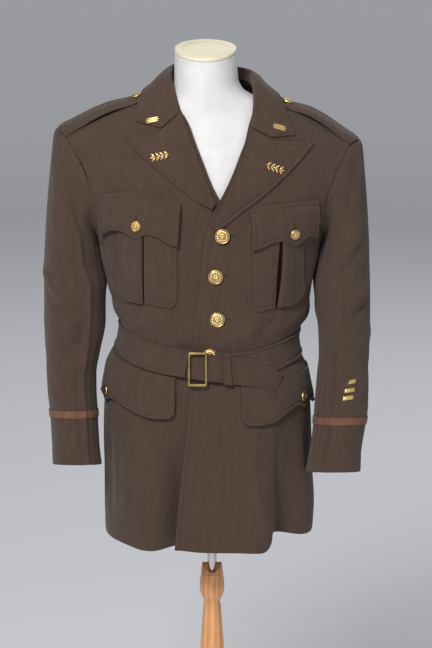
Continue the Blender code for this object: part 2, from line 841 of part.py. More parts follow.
def columns_patch(name, side, tops, bottoms, lifts, down, edge=0.04):
    """Patch on the front made of columns, each from its top to its bottom point."""
    rows = []
    for (top, bottom), lift in zip(zip(tops, bottoms), lifts):
        row = []
        for t in spread(0, 1, down, edge):
            spot = Vector(top).lerp(Vector(bottom), t)
            row.append(on_front(spot.x, spot.y, lift, under=side == "right"))
        rows.append(row)
    return sheet(name, rows, CORE, outward=True)


BREAST = {
    "right": {"inner": (-0.056, 1.250, 1.090), "outer": (-0.155, 1.268, 1.101),
              "pleat": (-0.112, -0.143)},
    "left": {"inner": (0.060, 1.245, 1.083), "outer": (0.153, 1.252, 1.095),
             "pleat": (0.108, 0.136)},
}
POCKET_CORNER = 0.018
PLEAT_RISE = 0.0026
POCKET_LIFT = LAID + 0.0007


def breast_pocket(side):
    """Patch pocket with a box pleat down its middle."""
    size = BREAST[side]
    inner, outer = size["inner"], size["outer"]
    bottom = rounded_bottom((inner[0], inner[2]), (outer[0], outer[2]), POCKET_CORNER)
    first, second = size["pleat"]
    toward = SIDES[side]
    nudge = 0.0008 * toward
    for x in (first - nudge, first + nudge, (first + second) / 2, second - nudge, second + nudge):
        share = (x - inner[0]) / (outer[0] - inner[0])
        bottom.append((x, inner[2] + (outer[2] - inner[2]) * share))
    bottom.sort(key=lambda point: point[0] * toward)
    tops = []
    lifts = []
    for x, _ in bottom:
        share = (x - inner[0]) / (outer[0] - inner[0])
        tops.append((x, inner[1] + (outer[1] - inner[1]) * share - 0.006))
        pleated = (first - x) * toward < 0 < (second - x) * toward
        lifts.append(POCKET_LIFT + (PLEAT_RISE if pleated else 0.0))
    return columns_patch("breast_pocket_" + side, side, tops, bottom, lifts, 5)


FLAPS = {
    "right": (
        ((-0.050, 1.271), (-0.085, 1.279), (-0.120, 1.286), (-0.155, 1.284), (-0.184, 1.280)),
        ((-0.055, 1.199), (-0.070, 1.203), (-0.088, 1.213), (-0.103, 1.217), (-0.115, 1.214), (-0.124, 1.209),
         (-0.134, 1.215), (-0.148, 1.222), (-0.160, 1.221), (-0.172, 1.215), (-0.180, 1.211)),
    ),
    "left": (
        ((0.065, 1.258), (0.095, 1.265), (0.130, 1.269), (0.155, 1.270), (0.176, 1.269)),
        ((0.064, 1.191), (0.080, 1.195), (0.096, 1.202), (0.110, 1.205), (0.125, 1.202), (0.136, 1.197),
         (0.146, 1.205), (0.155, 1.211), (0.160, 1.210), (0.165, 1.207), (0.169, 1.204)),
    ),
}
FLAP_LIFT = POCKET_LIFT + CLOTH + PLEAT_RISE + 0.0014


def breast_flap(side):
    """Scalloped flap with a centre point, over the breast pocket."""
    top, bottom = FLAPS[side]
    count = 19
    shares = spread(0, 1, count, 0.02)
    xs = table("share x", *[(i / (len(top) - 1), p[0]) for i, p in enumerate(top)])
    zs = table("share z", *[(i / (len(top) - 1), p[1]) for i, p in enumerate(top)])
    low_xs = table("share x", *[(i / (len(bottom) - 1), p[0]) for i, p in enumerate(bottom)])
    low_zs = table("share z", *[(i / (len(bottom) - 1), p[1]) for i, p in enumerate(bottom)])
    rows = []
    for share in shares:
        upper = Vector((read(xs, "x", share), read(zs, "z", share)))
        lower = Vector((read(low_xs, "x", share), read(low_zs, "z", share)))
        row = []
        for t in (0.0, 0.06, 0.22, 0.6, 0.95, 1.0):
            spot = upper.lerp(lower, t)
            lift = LAID - 0.0003 + (FLAP_LIFT - LAID) * step(0.0, 0.22, t)
            row.append(on_front(spot.x, spot.y, lift, under=side == "right"))
        rows.append(row)
    sheet("breast_flap_" + side, rows, CORE, outward=True)


# Hip flaps in turns round the body: turn, height of the top edge, height of the bottom edge
HIP_FLAPS = {
    "right": table(
        "turn top bottom",
        (104.0, 0.9755, 0.917),
        (107.0, 0.9765, 0.907),
        (116.0, 0.9800, 0.906),
        (128.0, 0.9840, 0.912),
        (141.0, 0.9890, 0.921),
        (150.0, 0.9925, 0.926),
        (156.0, 0.9945, 0.925),
        (162.0, 0.9960, 0.919),
        (168.0, 0.9980, 0.925),
        (176.0, 0.9990, 0.926),
        (186.0, 1.0000, 0.918),
        (198.0, 1.0000, 0.910),
        (206.0, 0.9995, 0.912),
    ),
    "left": table(
        "turn top bottom",
        (-20.0, 0.968, 0.899),
        (-13.0, 0.968, 0.896),
        (0.0, 0.969, 0.906),
        (11.0, 0.970, 0.916),
        (18.0, 0.970, 0.917),
        (27.0, 0.970, 0.911),
        (34.0, 0.970, 0.918),
        (43.0, 0.969, 0.912),
        (54.0, 0.968, 0.900),
        (64.0, 0.967, 0.894),
        (71.0, 0.966, 0.895),
        (74.5, 0.966, 0.903),
    ),
}
HIP_LIFT = 0.0030


def hip_flap(side):
    """Flap of a lower pocket, wrapped round the hip."""
    rows_of = HIP_FLAPS[side]
    turns = rows_of["turn"]
    rows = []
    for turn in spread(turns[0], turns[-1], 20, 0.012):
        top = read(rows_of, "top", turn)
        bottom = read(rows_of, "bottom", turn)
        row = []
        for t in spread(0, 1, 5, 0.04):
            lift = 0.7 * LAID + HIP_LIFT * step(0.05, 0.8, t)
            row.append(place(turn, top + (bottom - top) * t, lift, under=side == "right"))
        rows.append(row)
    sheet("hip_flap_" + side, rows, CORE, outward=True)


# Belt: turn round the body and height of its middle line
BELT = table(
    "turn middle",
    (-261, 0.9990),
    (-235, 1.0080),
    (-210, 1.0190),
    (-180, 1.0265),
    (-90, 1.0210),
    (0, 1.0150),
    (30, 1.0110),
    (55, 1.0010),
    (75, 0.9935),
    (90, 0.9965),
)
BELT_LOW_END = 87.0
BELT_HIGH_END = -261.3
BELT_LIFT = 0.0021
TONGUE = table(
    "turn middle",
    (46.5, 0.9715),
    (98.2, 0.9985),
)
TONGUE_LIFT = CLOTH + 0.0012
BUMP_LIFT = 0.0062
BUMP_TURN = 90.0
BUMP_WIDTH = 9.5
KEEPER_TURNS = (83.2, 79.0)


def bump(turn):
    """How far the belt rides over the lowest front button."""
    return BUMP_LIFT * 2.718 ** (-(((turn - BUMP_TURN) / BUMP_WIDTH) ** 2))


def belt_lift(turn):
    """Lift of the belt, which rises at the buckle to run on into its tongue."""
    return BELT_LIFT + bump(turn) + (TONGUE_LIFT + bump(turn + 360)) * step(-246, -259, turn)


def step_down(high, low, at):
    """1 below low, 0 above high, smooth between."""
    return 1 - step(low, high, at)


def band(name, turns, heights, lift, narrow=None, thick=CLOTH, width=BELT_WIDTH):
    """Stretch of belt: turns round the body, a table of its middle line, and its lift."""
    rows = []
    for turn in turns:
        centre = read(heights, "middle", turn)
        half = width / 2 * (narrow(turn) if narrow else 1.0)
        rows.append([place(turn, centre + half * t, lift(turn)) for t in (-1.0, -0.9, 0.9, 1.0)])
    return sheet(name, rows, (-0.005, 0, 1.0), thick=thick, outward=True)


def belt():
    """Belt round the waist, its tongue through the buckle, and the loop that holds the tongue."""
    near = [BELT_LOW_END, BELT_LOW_END - 0.8, 83, 79, 75, 70, 64, 56]
    far = [46 - 10.5 * i for i in range(28)]
    last = [-244, -248, -252, -256, BELT_HIGH_END + 0.8, BELT_HIGH_END]
    band("belt", near + far + last, BELT, belt_lift)

    def tongue_lift(turn):
        return BELT_LIFT + bump(turn) + TONGUE_LIFT

    def tongue_point(turn):
        return 1.0 - 0.80 * step_down(TONGUE["turn"][0] + 4.5, TONGUE["turn"][0], turn)

    turns = [98.2, 97.4, 95, 92, 89, 86, 82, 77, 71, 65, 59, 54, 51, 48.5, 47.0, 46.5]
    band("belt_tongue", turns, TONGUE, tongue_lift, tongue_point)

    def keeper_lift(turn):
        return tongue_lift(turn) + CLOTH + 0.0007

    turns = spread(*KEEPER_TURNS, 4, 0.1)
    band("belt_keeper", turns, TONGUE, keeper_lift, thick=0.0015, width=BELT_WIDTH + 0.005)


def profile_of_button(radius, shank):
    """Outline of a domed button on its shank, from the top of its axis down to the bottom."""
    rim = radius * 0.12
    dome_points = [(radius * sin(a), rim + radius * 0.30 * cos(a)) for a in (0.0, 0.6, 1.15, pi / 2)]
    dome_points[0] = (0.0, dome_points[0][1])
    return dome_points + [(radius * 0.93, 0.0), (0.003, 0.0), (0.003, -shank), (0.0, -shank)]


def seat_button(name, radius, shank, below, start, direction):
    """Button on the first face of a piece that is met from a start in a direction."""
    point, normal = touch(below, start, direction)
    made = turned(name, profile_of_button(radius, shank), "gilt", sides=12)
    made.location = point + normal * (shank + SEAM)
    made.rotation_euler = normal.to_track_quat("Z", "Y").to_euler()
    return made


def touch(name, start, direction):
    """Where a line from a start first meets a piece, and which way the face there looks."""
    graph = bpy.context.evaluated_depsgraph_get()
    tree = BVHTree.FromObject(bpy.data.objects[name], graph)
    point, normal, _, _ = tree.ray_cast(Vector(start), Vector(direction))
    if point is None:
        raise ValueError(f"nothing of {name} is met")
    if normal.dot(Vector(direction)) > 0:
        normal.negate()
    return point, normal


# Front buttons: name, x, height, shank
FRONT_BUTTONS = (
    ("front_button_1", 0.0170, 1.2165, 0.0034),
    ("front_button_2", 0.0060, 1.1480, 0.0012),
    ("front_button_3", 0.0090, 1.0740, 0.0012),
    ("front_button_4", -0.0030, 1.0120, 0.0012),
)
BREAST_BUTTONS = {"left": (0.1370, 1.2160), "right": (-0.1250, 1.2320)}
HIP_BUTTONS = {"left": (27.0, 0.931), "right": (162.0, 0.937)}
AHEAD = Vector((0, 1, 0))


def buttons():
    """Gilt buttons of the front, straps and flaps."""
    for name, x, z, shank in FRONT_BUTTONS:
        seat_button(name, BUTTON_RADIUS, shank, "front_left", (x, -0.4, z), AHEAD)
    for side in SIDES:
        x, z = BREAST_BUTTONS[side]
        seat_button("breast_button_" + side, SMALL_BUTTON_RADIUS, 0.0008, "breast_flap_" + side,
                    (x, -0.4, z), AHEAD)
        turn, level = HIP_BUTTONS[side]
        start = place(turn, level, 0.08)
        seat_button("hip_button_" + side, SMALL_BUTTON_RADIUS, 0.0008, "hip_flap_" + side,
                    start, body_point(turn, level) - start)
        seat_button("strap_button_" + side, SMALL_BUTTON_RADIUS, 0.0008, "strap_" + side,
                    (STRAP_BUTTON_X[side], -0.009, 1.6), (0, 0, -1))


BUCKLE_SIZE = (0.032, 0.057)
BUCKLE_CENTRE = (-0.0240, 0.9940)
BUCKLE_WIRE = 0.0018


def buckle():
    """Open brass frame that the belt runs through."""
    x, z = BUCKLE_CENTRE
    point, normal = touch("belt_tongue", (x, -0.4, z), AHEAD)
    wide = BUCKLE_SIZE[0] / 2 - BUCKLE_WIRE
    high = BUCKLE_SIZE[1] / 2 - BUCKLE_WIRE
    corner = 0.0022
    curve = bpy.data.curves.new("buckle", "CURVE")
    curve.dimensions = "3D"
    curve.bevel_depth = BUCKLE_WIRE
    curve.bevel_resolution = 2
    spline = curve.splines.new("POLY")
    points = []
    for sx, sz in ((1, 1), (-1, 1), (-1, -1), (1, -1)):
        ends = ((sx * wide, sz * (high - corner)), (sx * (wide - corner), sz * high))
        points += ends if sx * sz > 0 else ends[::-1]
    spline.points.add(len(points) - 1)
    for spot, (px, pz) in zip(spline.points, points):
        spot.co = (px, 0, pz, 1)
    spline.use_cyclic_u = True
    made = bpy.data.objects.new("buckle", curve)
    bpy.data.collections[NAME].objects.link(made)
    finish(made, "brass")
    made.location = point + Vector((0, -BUCKLE_WIRE - 0.0034, 0))
    made.rotation_euler = (radians(-4), 0, 0)
    return made


SERVICE_BARS = (
    ("service_bar_1", 0.2134, 0.9590),
    ("service_bar_2", 0.2190, 0.9445),
    ("service_bar_3", 0.2240, 0.9315),
)
BAR_SIZE = (0.018, 0.0075)
BAR_SLANT = 0.12


def service_bars():
    """Short gold bars sewn on the left sleeve above its braid."""
    for name, share, level in SERVICE_BARS:
        rows = []
        for down in (-0.5, 0.5):
            row = []
            for across in (-0.5, 0.0, 0.5):
                at = share - across * BAR_SIZE[0] / 0.33
                height = level + down * BAR_SIZE[1] + across * BAR_SIZE[0] * BAR_SLANT
                here = sleeve_ring("left", at, height)
                side_step = sleeve_ring("left", at - 0.01, height) - sleeve_ring("left", at + 0.01, height)
                up_step = sleeve_ring("left", at, height + 0.005) - sleeve_ring("left", at, height - 0.005)
                out = side_step.cross(up_step).normalized()
                row.append(here + out * LAID * 0.65)
            rows.append(row)
        sheet(name, rows, (0.22, 0.0, 0.945), slot="gold_thread", thick=0.0009, outward=True)


# Pins: name, piece below, x, height, width, depth, turn in its plane
PINS = (
    ("collar_pin_right", "collar_fall", -0.0985, 1.4000, 0.0230, 0.0090, 8.0),
    ("collar_pin_left", "collar_fall", 0.1120, 1.3880, 0.0230, 0.0090, -10.0),
    ("lapel_pin_right", "lapel_right", -0.0850, 1.3460, 0.0330, 0.0110, 10.0),
    ("lapel_pin_left", "lapel_left", 0.1030, 1.3270, 0.0330, 0.0110, -18.0),
)
PIN_THICK = 0.0014


def pins():
    """Plain gold bars pinned on the collar and lapels."""
    for name, below, x, z, wide, deep, turn in PINS:
        point, normal = touch(below, (x, -0.4, z), AHEAD)
        bpy.ops.mesh.primitive_cube_add(size=1)
        made = bpy.context.object
        made.name = name
        made.data.name = name
        for vertex in made.data.vertices:
            taper = 1.0 - 0.35 * (abs(vertex.co.x) > 0.4)
            vertex.co = (vertex.co.x * wide, vertex.co.y * deep * taper, vertex.co.z * PIN_THICK)
        for home in list(made.users_collection):
            home.objects.unlink(made)
        bpy.data.collections[NAME].objects.link(made)
        bevel = made.modifiers.new("edge", "BEVEL")
        bevel.width = 0.0005
        bevel.segments = 1
        finish(made, "gilt")
        level = Vector((cos(radians(turn)), 0, sin(radians(turn))))
        level = (level - normal * level.dot(normal)).normalized()
        axes = Matrix((level, normal.cross(level), normal)).transposed()
        made.rotation_euler = axes.to_euler()
        made.location = point + normal * (PIN_THICK / 2 + 0.0008)


FORM = table(
    "level left right front back round",
    (0.840, 0.122, -0.128, 0.096, 0.094, 2.0),
    (0.850, 0.132, -0.138, 0.104, 0.101, 2.0),
    (0.900, 0.138, -0.144, 0.109, 0.104, 2.0),
    (0.970, 0.129, -0.136, 0.104, 0.092, 2.0),
    (1.040, 0.119, -0.127, 0.097, 0.083, 2.0),
    (1.110, 0.134, -0.142, 0.103, 0.092, 2.0),
    (1.190, 0.156, -0.164, 0.112, 0.101, 2.0),
    (1.250, 0.168, -0.176, 0.114, 0.104, 2.0),
    (1.310, 0.170, -0.179, 0.106, 0.103, 2.0),
    (1.360, 0.167, -0.178, 0.088, 0.097, 1.9),
    (1.388, 0.160, -0.176, 0.074, 0.087, 1.65),
    (1.4058, 0.1495, -0.1735, 0.066, 0.077, 1.5),
    (1.4162, 0.1240, -0.1500, 0.064, 0.070, 1.5),
    (1.4240, 0.0970, -0.1130, 0.0635, 0.062, 1.6),
    (1.4320, 0.0700, -0.0830, 0.0635, 0.056, 1.8),
    (1.4430, 0.0520, -0.0675, 0.0640, 0.0515, 2.0),
    (1.4600, 0.0440, -0.0632, 0.0645, 0.0490, 2.0),
    (1.506, 0.0410, -0.0620, 0.0645, 0.0485, 2.0),
)
FORM_SIDES = 28
CAP_THICK = 0.0060
CAP_RIM = 0.0012


def neck_ring(left, right, front, back, level, tilt, rounding=2.0):
    """Ring of the form, its plane tilted down towards the front by a share of the neck's tilt."""
    points = []
    for i in range(FORM_SIDES):
        angle = 2 * pi * i / FORM_SIDES
        x = (left + right) / 2 + (left - right) / 2 * power(cos(angle), 2 / rounding)
        ahead = power(sin(angle), 2 / rounding)
        y = -ahead * (front if ahead > 0 else back)
        points.append(Vector((x, y, level + y * tan(radians(NECK_TILT)) * tilt)))
    return points


def form_body():
    """Limbless dress form: hips, waist, chest, shoulders and neck, smooth and whole."""
    rings = []
    for level in FORM["level"]:
        sizes = [read(FORM, column, level) for column in ("left", "right", "front", "back")]
        rings.append(neck_ring(*sizes, level, step(1.455, NECK_TOP, level), read(FORM, "round", level)))
    ring_ways = [ring[::-1] for ring in rings]
    closed_loft("form_body", ring_ways, "form")
    sizes = [read(FORM, column, NECK_TOP) for column in ("left", "right", "front", "back")]
    low = NECK_TOP + SEAM
    rings = []
    for up, wide in ((0.0, -CAP_RIM), (CAP_RIM, 0.0), (CAP_THICK - CAP_RIM, 0.0), (CAP_THICK, -CAP_RIM)):
        left, right, front, back = sizes
        ring = neck_ring(left + wide, right - wide, front + wide, back + wide, low + up, 1.0)
        rings.append(ring[::-1])
    closed_loft("neck_cap", rings, "cap")


# Profiles of the stand: radius, height
POST_PROFILE = (
    (0.0000, POST_TOP), (0.0160, POST_TOP), (0.0172, 0.6170), (0.0195, 0.5980), (0.0212, 0.5800),
    (0.0202, 0.5660), (0.0160, 0.5560), (0.0135, 0.5510), (0.0150, 0.5430), (0.0168, 0.5200),
    (0.0187, 0.4940), (0.0205, 0.4700), (0.0222, 0.4000), (0.0240, 0.2500), (0.0262, 0.1200),
    (0.0285, 0.0500), (0.0285, BASE_HEIGHT + SEAM), (0.0000, BASE_HEIGHT + SEAM),
)
BASE_PROFILE = (
    (0.0000, BASE_HEIGHT), (BASE_RADIUS - 0.0140, BASE_HEIGHT), (BASE_RADIUS - 0.0060, 0.0260),
    (BASE_RADIUS - 0.0010, 0.0200), (BASE_RADIUS, 0.0120), (BASE_RADIUS - 0.0015, 0.0040),
    (BASE_RADIUS - 0.0050, 0.0000), (0.0000, 0.0000),
)


def stand():
    """Chrome pole in a turned wooden post on a round wooden base."""
    height = FORM_BOTTOM - POST_TOP - 2 * SEAM
    bpy.ops.mesh.primitive_cylinder_add(vertices=20, radius=POLE_RADIUS, depth=height)
    made = bpy.context.object
    made.name = "pole"
    made.data.name = "pole"
    made.location = (0, 0, POST_TOP + SEAM + height / 2)
    for home in list(made.users_collection):
        home.objects.unlink(made)
    bpy.data.collections[NAME].objects.link(made)
    finish(made, "chrome")
    turned("post", POST_PROFILE, "wood", sides=16)
    turned("base", BASE_PROFILE, "wood", sides=30)


def main():
    """Make the coat and its stand."""
    for made in list(bpy.data.objects):
        bpy.data.objects.remove(made)
    bpy.context.scene.collection.children.link(bpy.data.collections.new(NAME))
    for side in SIDES:
        front_panel(side)
        back_panel(side)
        sleeve(side)
        braid(side)
        lapel(side)
        strap(side)
        breast_pocket(side)
        breast_flap(side)
        hip_flap(side)
    collar_fall()
    collar_stand()
    belt()
    buttons()
    buckle()
    service_bars()
    pins()
    form_body()
    stand()


main()
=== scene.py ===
import bpy
import numpy as np
from math import cos, pi, radians, sin, tan
from bpy.props import FloatProperty, PointerProperty
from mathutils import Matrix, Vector
from mathutils.bvhtree import BVHTree


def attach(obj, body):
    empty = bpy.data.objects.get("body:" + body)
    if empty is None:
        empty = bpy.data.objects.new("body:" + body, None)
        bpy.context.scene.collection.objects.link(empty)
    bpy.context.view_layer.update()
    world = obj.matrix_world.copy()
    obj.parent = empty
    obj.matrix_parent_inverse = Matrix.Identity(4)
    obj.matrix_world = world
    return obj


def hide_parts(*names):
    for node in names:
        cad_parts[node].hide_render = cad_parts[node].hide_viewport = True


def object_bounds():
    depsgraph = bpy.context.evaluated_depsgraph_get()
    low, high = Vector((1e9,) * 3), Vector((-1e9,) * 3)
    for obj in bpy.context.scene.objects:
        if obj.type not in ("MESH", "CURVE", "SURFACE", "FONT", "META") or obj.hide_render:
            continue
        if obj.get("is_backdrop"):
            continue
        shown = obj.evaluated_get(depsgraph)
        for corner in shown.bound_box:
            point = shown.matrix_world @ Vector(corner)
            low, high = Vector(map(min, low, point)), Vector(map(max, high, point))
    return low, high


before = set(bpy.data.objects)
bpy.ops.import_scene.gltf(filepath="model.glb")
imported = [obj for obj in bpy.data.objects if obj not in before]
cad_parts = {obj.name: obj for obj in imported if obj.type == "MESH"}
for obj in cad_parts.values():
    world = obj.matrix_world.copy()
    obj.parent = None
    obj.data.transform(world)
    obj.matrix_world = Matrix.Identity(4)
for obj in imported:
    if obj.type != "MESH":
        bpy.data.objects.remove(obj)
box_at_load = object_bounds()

bl_info = {
    "name": "Service coat",
    "version": (1, 0, 0),
    "blender": (4, 5, 0),
    "location": "3D View > Sidebar > Coat",
    "description": "Service coat with its belt on a limbless dress form, and a plain studio",
    "category": "Object",
}

# The same shape as the frame's: a turn round the body is 0 at the wearer's left side, 90 at the
# front, 180 at the right side and 270 at the back, and a level is a height that the shoulders pull down
HEM_LEVEL = 0.685
ARMPIT_LEVEL = 1.190
SLOPE_LEVEL = 1.090
NECK_SEAM_LEVEL = 1.445
TOP_LEVEL = 1.470
DOME_HEIGHT = 0.250
ROUNDING = 2.4
STITCH_LINE = 0.0062
BELT_WIDTH = 0.046
BRAID_WIDTH = 0.0127
BRAID_ABOVE_CUFF = 0.076
SIDES = {"left": 1.0, "right": -1.0}
# Gaps at the side seams in degrees, and at the sleeves' seams as a share of the way round
SEAM_TURN = 0.002
SEAM_SHARE = 0.0005
# Filled as the pieces are built: materials by finish, the body's creases in metres, lines of
# topstitching, the outlines of the buttonholes, and the strips of painted shade in their slits
MATERIALS = {}
CREASE_LINES = {}
THREADS = []
HOLES = []
SLIT_SHADES = []


def table(names, *rows):
    """Columns of a short table by name; the first column is the one it is read along."""
    return {name: np.array(column, float) for name, column in zip(names.split(), zip(*rows))}


RINGS = table(
    "level left right front back",
    (0.680, 0.172, -0.183, 0.152, 0.140),
    (0.735, 0.175, -0.184, 0.150, 0.139),
    (0.790, 0.172, -0.184, 0.146, 0.136),
    (0.850, 0.170, -0.185, 0.141, 0.131),
    (0.900, 0.168, -0.184, 0.137, 0.126),
    (0.940, 0.164, -0.180, 0.132, 0.120),
    (0.970, 0.157, -0.175, 0.127, 0.113),
    (1.000, 0.147, -0.164, 0.121, 0.104),
    (1.020, 0.144, -0.157, 0.118, 0.100),
    (1.045, 0.148, -0.154, 0.117, 0.098),
    (1.080, 0.161, -0.163, 0.119, 0.102),
    (1.120, 0.170, -0.177, 0.122, 0.108),
    (1.160, 0.179, -0.187, 0.125, 0.113),
    (1.190, 0.184, -0.1915, 0.126, 0.116),
    (1.250, 0.203, -0.212, 0.125, 0.117),
    (1.300, 0.228, -0.238, 0.122, 0.116),
    (1.360, 0.257, -0.268, 0.116, 0.113),
    (1.420, 0.280, -0.290, 0.108, 0.108),
    (1.470, 0.290, -0.300, 0.102, 0.104),
)
SHOULDERS = table(
    "x height",
    (-0.270, 1.370),
    (-0.258, 1.376),
    (-0.200, 1.399),
    (-0.150, 1.419),
    (-0.100, 1.439),
    (-0.070, 1.455),
    (-0.035, 1.467),
    (0.000, 1.470),
    (0.035, 1.463),
    (0.070, 1.449),
    (0.100, 1.430),
    (0.150, 1.409),
    (0.200, 1.382),
    (0.246, 1.357),
    (0.260, 1.350),
)
ARMHOLES = table(
    "level left_front left_back right_front right_back",
    (1.190, 0.1840, 0.1840, -0.1915, -0.1915),
    (1.230, 0.1850, 0.1880, -0.1920, -0.1950),
    (1.276, 0.1890, 0.1950, -0.1950, -0.2010),
    (1.305, 0.1945, 0.2010, -0.2015, -0.2080),
    (1.330, 0.2010, 0.2070, -0.2070, -0.2140),
    (1.354, 0.2060, 0.2130, -0.2135, -0.2200),
    (1.392, 0.2180, 0.2240, -0.2260, -0.2310),
    (1.440, 0.2295, 0.2330, -0.2435, -0.2460),
    (1.470, 0.2455, 0.2455, -0.2580, -0.2580),
)
OVER_EDGE = table(
    "level x",
    (0.680, -0.0625),
    (0.755, -0.0560),
    (0.821, -0.0490),
    (0.905, -0.0400),
    (0.964, -0.0360),
    (1.057, -0.0270),
    (1.159, -0.0180),
    (1.193, -0.0150),
    (1.240, -0.0035),
    (1.260, 0.0050),
    (1.278, 0.0150),
    (1.309, 0.0300),
    (1.334, 0.0400),
    (1.354, 0.0470),
    (1.376, 0.0550),
    (1.400, 0.0600),
    (1.425, 0.0670),
    (1.450, 0.0730),
    (1.470, 0.0765),
)
UNDER_EDGE = table(
    "level x",
    (0.680, -0.0170),
    (0.905, 0.0050),
    (1.057, 0.0170),
    (1.159, 0.0280),
    (1.200, 0.0360),
    (1.240, 0.0330),
    (1.262, 0.0230),
    (1.278, 0.0120),
    (1.307, -0.0030),
    (1.330, -0.0120),
    (1.370, -0.0280),
    (1.395, -0.0370),
    (1.412, -0.0460),
    (1.432, -0.0620),
    (1.452, -0.0700),
    (1.470, -0.0745),
)
NECKLINE = table(
    "level x",
    (NECK_SEAM_LEVEL, 0.0),
    (1.453, 0.036),
    (1.462, 0.060),
    (TOP_LEVEL, 0.0765),
)
HEM = table(
    "turn height",
    (0, 0.685),
    (25, 0.690),
    (43, 0.697),
    (55, 0.689),
    (66, 0.679),
    (90, 0.680),
    (104, 0.684),
    (119, 0.681),
    (150, 0.684),
    (180, 0.685),
    (225, 0.687),
    (270, 0.689),
    (315, 0.687),
    (360, 0.685),
)
# Folds of the skirt: turn, half width in degrees, push at the hem, and the height where they start
FOLDS = (
    (43.0, 13.0, -0.040, 0.930),
    (64.0, 10.0, 0.014, 0.900),
    (120.0, 13.0, 0.010, 0.900),
    (212.0, 12.0, 0.008, 0.960),
    (238.0, 11.0, -0.014, 0.950),
    (262.0, 10.0, 0.008, 0.960),
    (292.0, 11.0, -0.012, 0.940),
    (318.0, 12.0, 0.010, 0.950),
)
UNDER_FOLDS = ((103.0, 8.5, -0.034, 0.960),)
SLEEVES = {
    "left": table(
        "level outer inner middle deep",
        (0.808, 0.2500, 0.1575, -0.0980, 0.0520),
        (0.840, 0.2515, 0.1635, -0.0880, 0.0535),
        (0.873, 0.2570, 0.1695, -0.0760, 0.0555),
        (0.908, 0.2630, 0.1725, -0.0620, 0.0580),
        (0.930, 0.2640, 0.1745, -0.0520, 0.0595),
        (0.960, 0.2650, 0.1775, -0.0380, 0.0615),
        (0.995, 0.2660, 0.1810, -0.0230, 0.0645),
        (1.040, 0.2675, 0.1795, -0.0090, 0.0690),
        (1.070, 0.2680, 0.1740, -0.0040, 0.0710),
        (1.105, 0.2675, 0.1735, -0.0020, 0.0730),
        (1.150, 0.2660, 0.1840, 0.0000, 0.0740),
    ),
    "right": table(
        "level outer inner middle deep",
        (0.815, -0.2690, -0.1860, -0.0760, 0.0535),
        (0.840, -0.2700, -0.1895, -0.0680, 0.0545),
        (0.873, -0.2720, -0.1920, -0.0560, 0.0570),
        (0.908, -0.2750, -0.1940, -0.0430, 0.0590),
        (0.930, -0.2780, -0.1955, -0.0350, 0.0600),
        (0.960, -0.2800, -0.1960, -0.0240, 0.0620),
        (0.995, -0.2820, -0.1900, -0.0140, 0.0650),
        (1.050, -0.2840, -0.1800, -0.0060, 0.0700),
        (1.105, -0.2840, -0.1800, -0.0020, 0.0740),
        (1.150, -0.2830, -0.1905, 0.0000, 0.0750),
    ),
}
# Belt: turn round the body and height of its middle line
BELT = table(
    "turn middle",
    (-261, 0.9990),
    (-235, 1.0080),
    (-210, 1.0190),
    (-180, 1.0265),
    (-90, 1.0210),
    (0, 1.0150),
    (30, 1.0110),
    (55, 1.0010),
    (75, 0.9935),
    (90, 0.9965),
)
TONGUE = table(
    "turn middle",
    (46.5, 0.9715),
    (98.2, 0.9985),
)

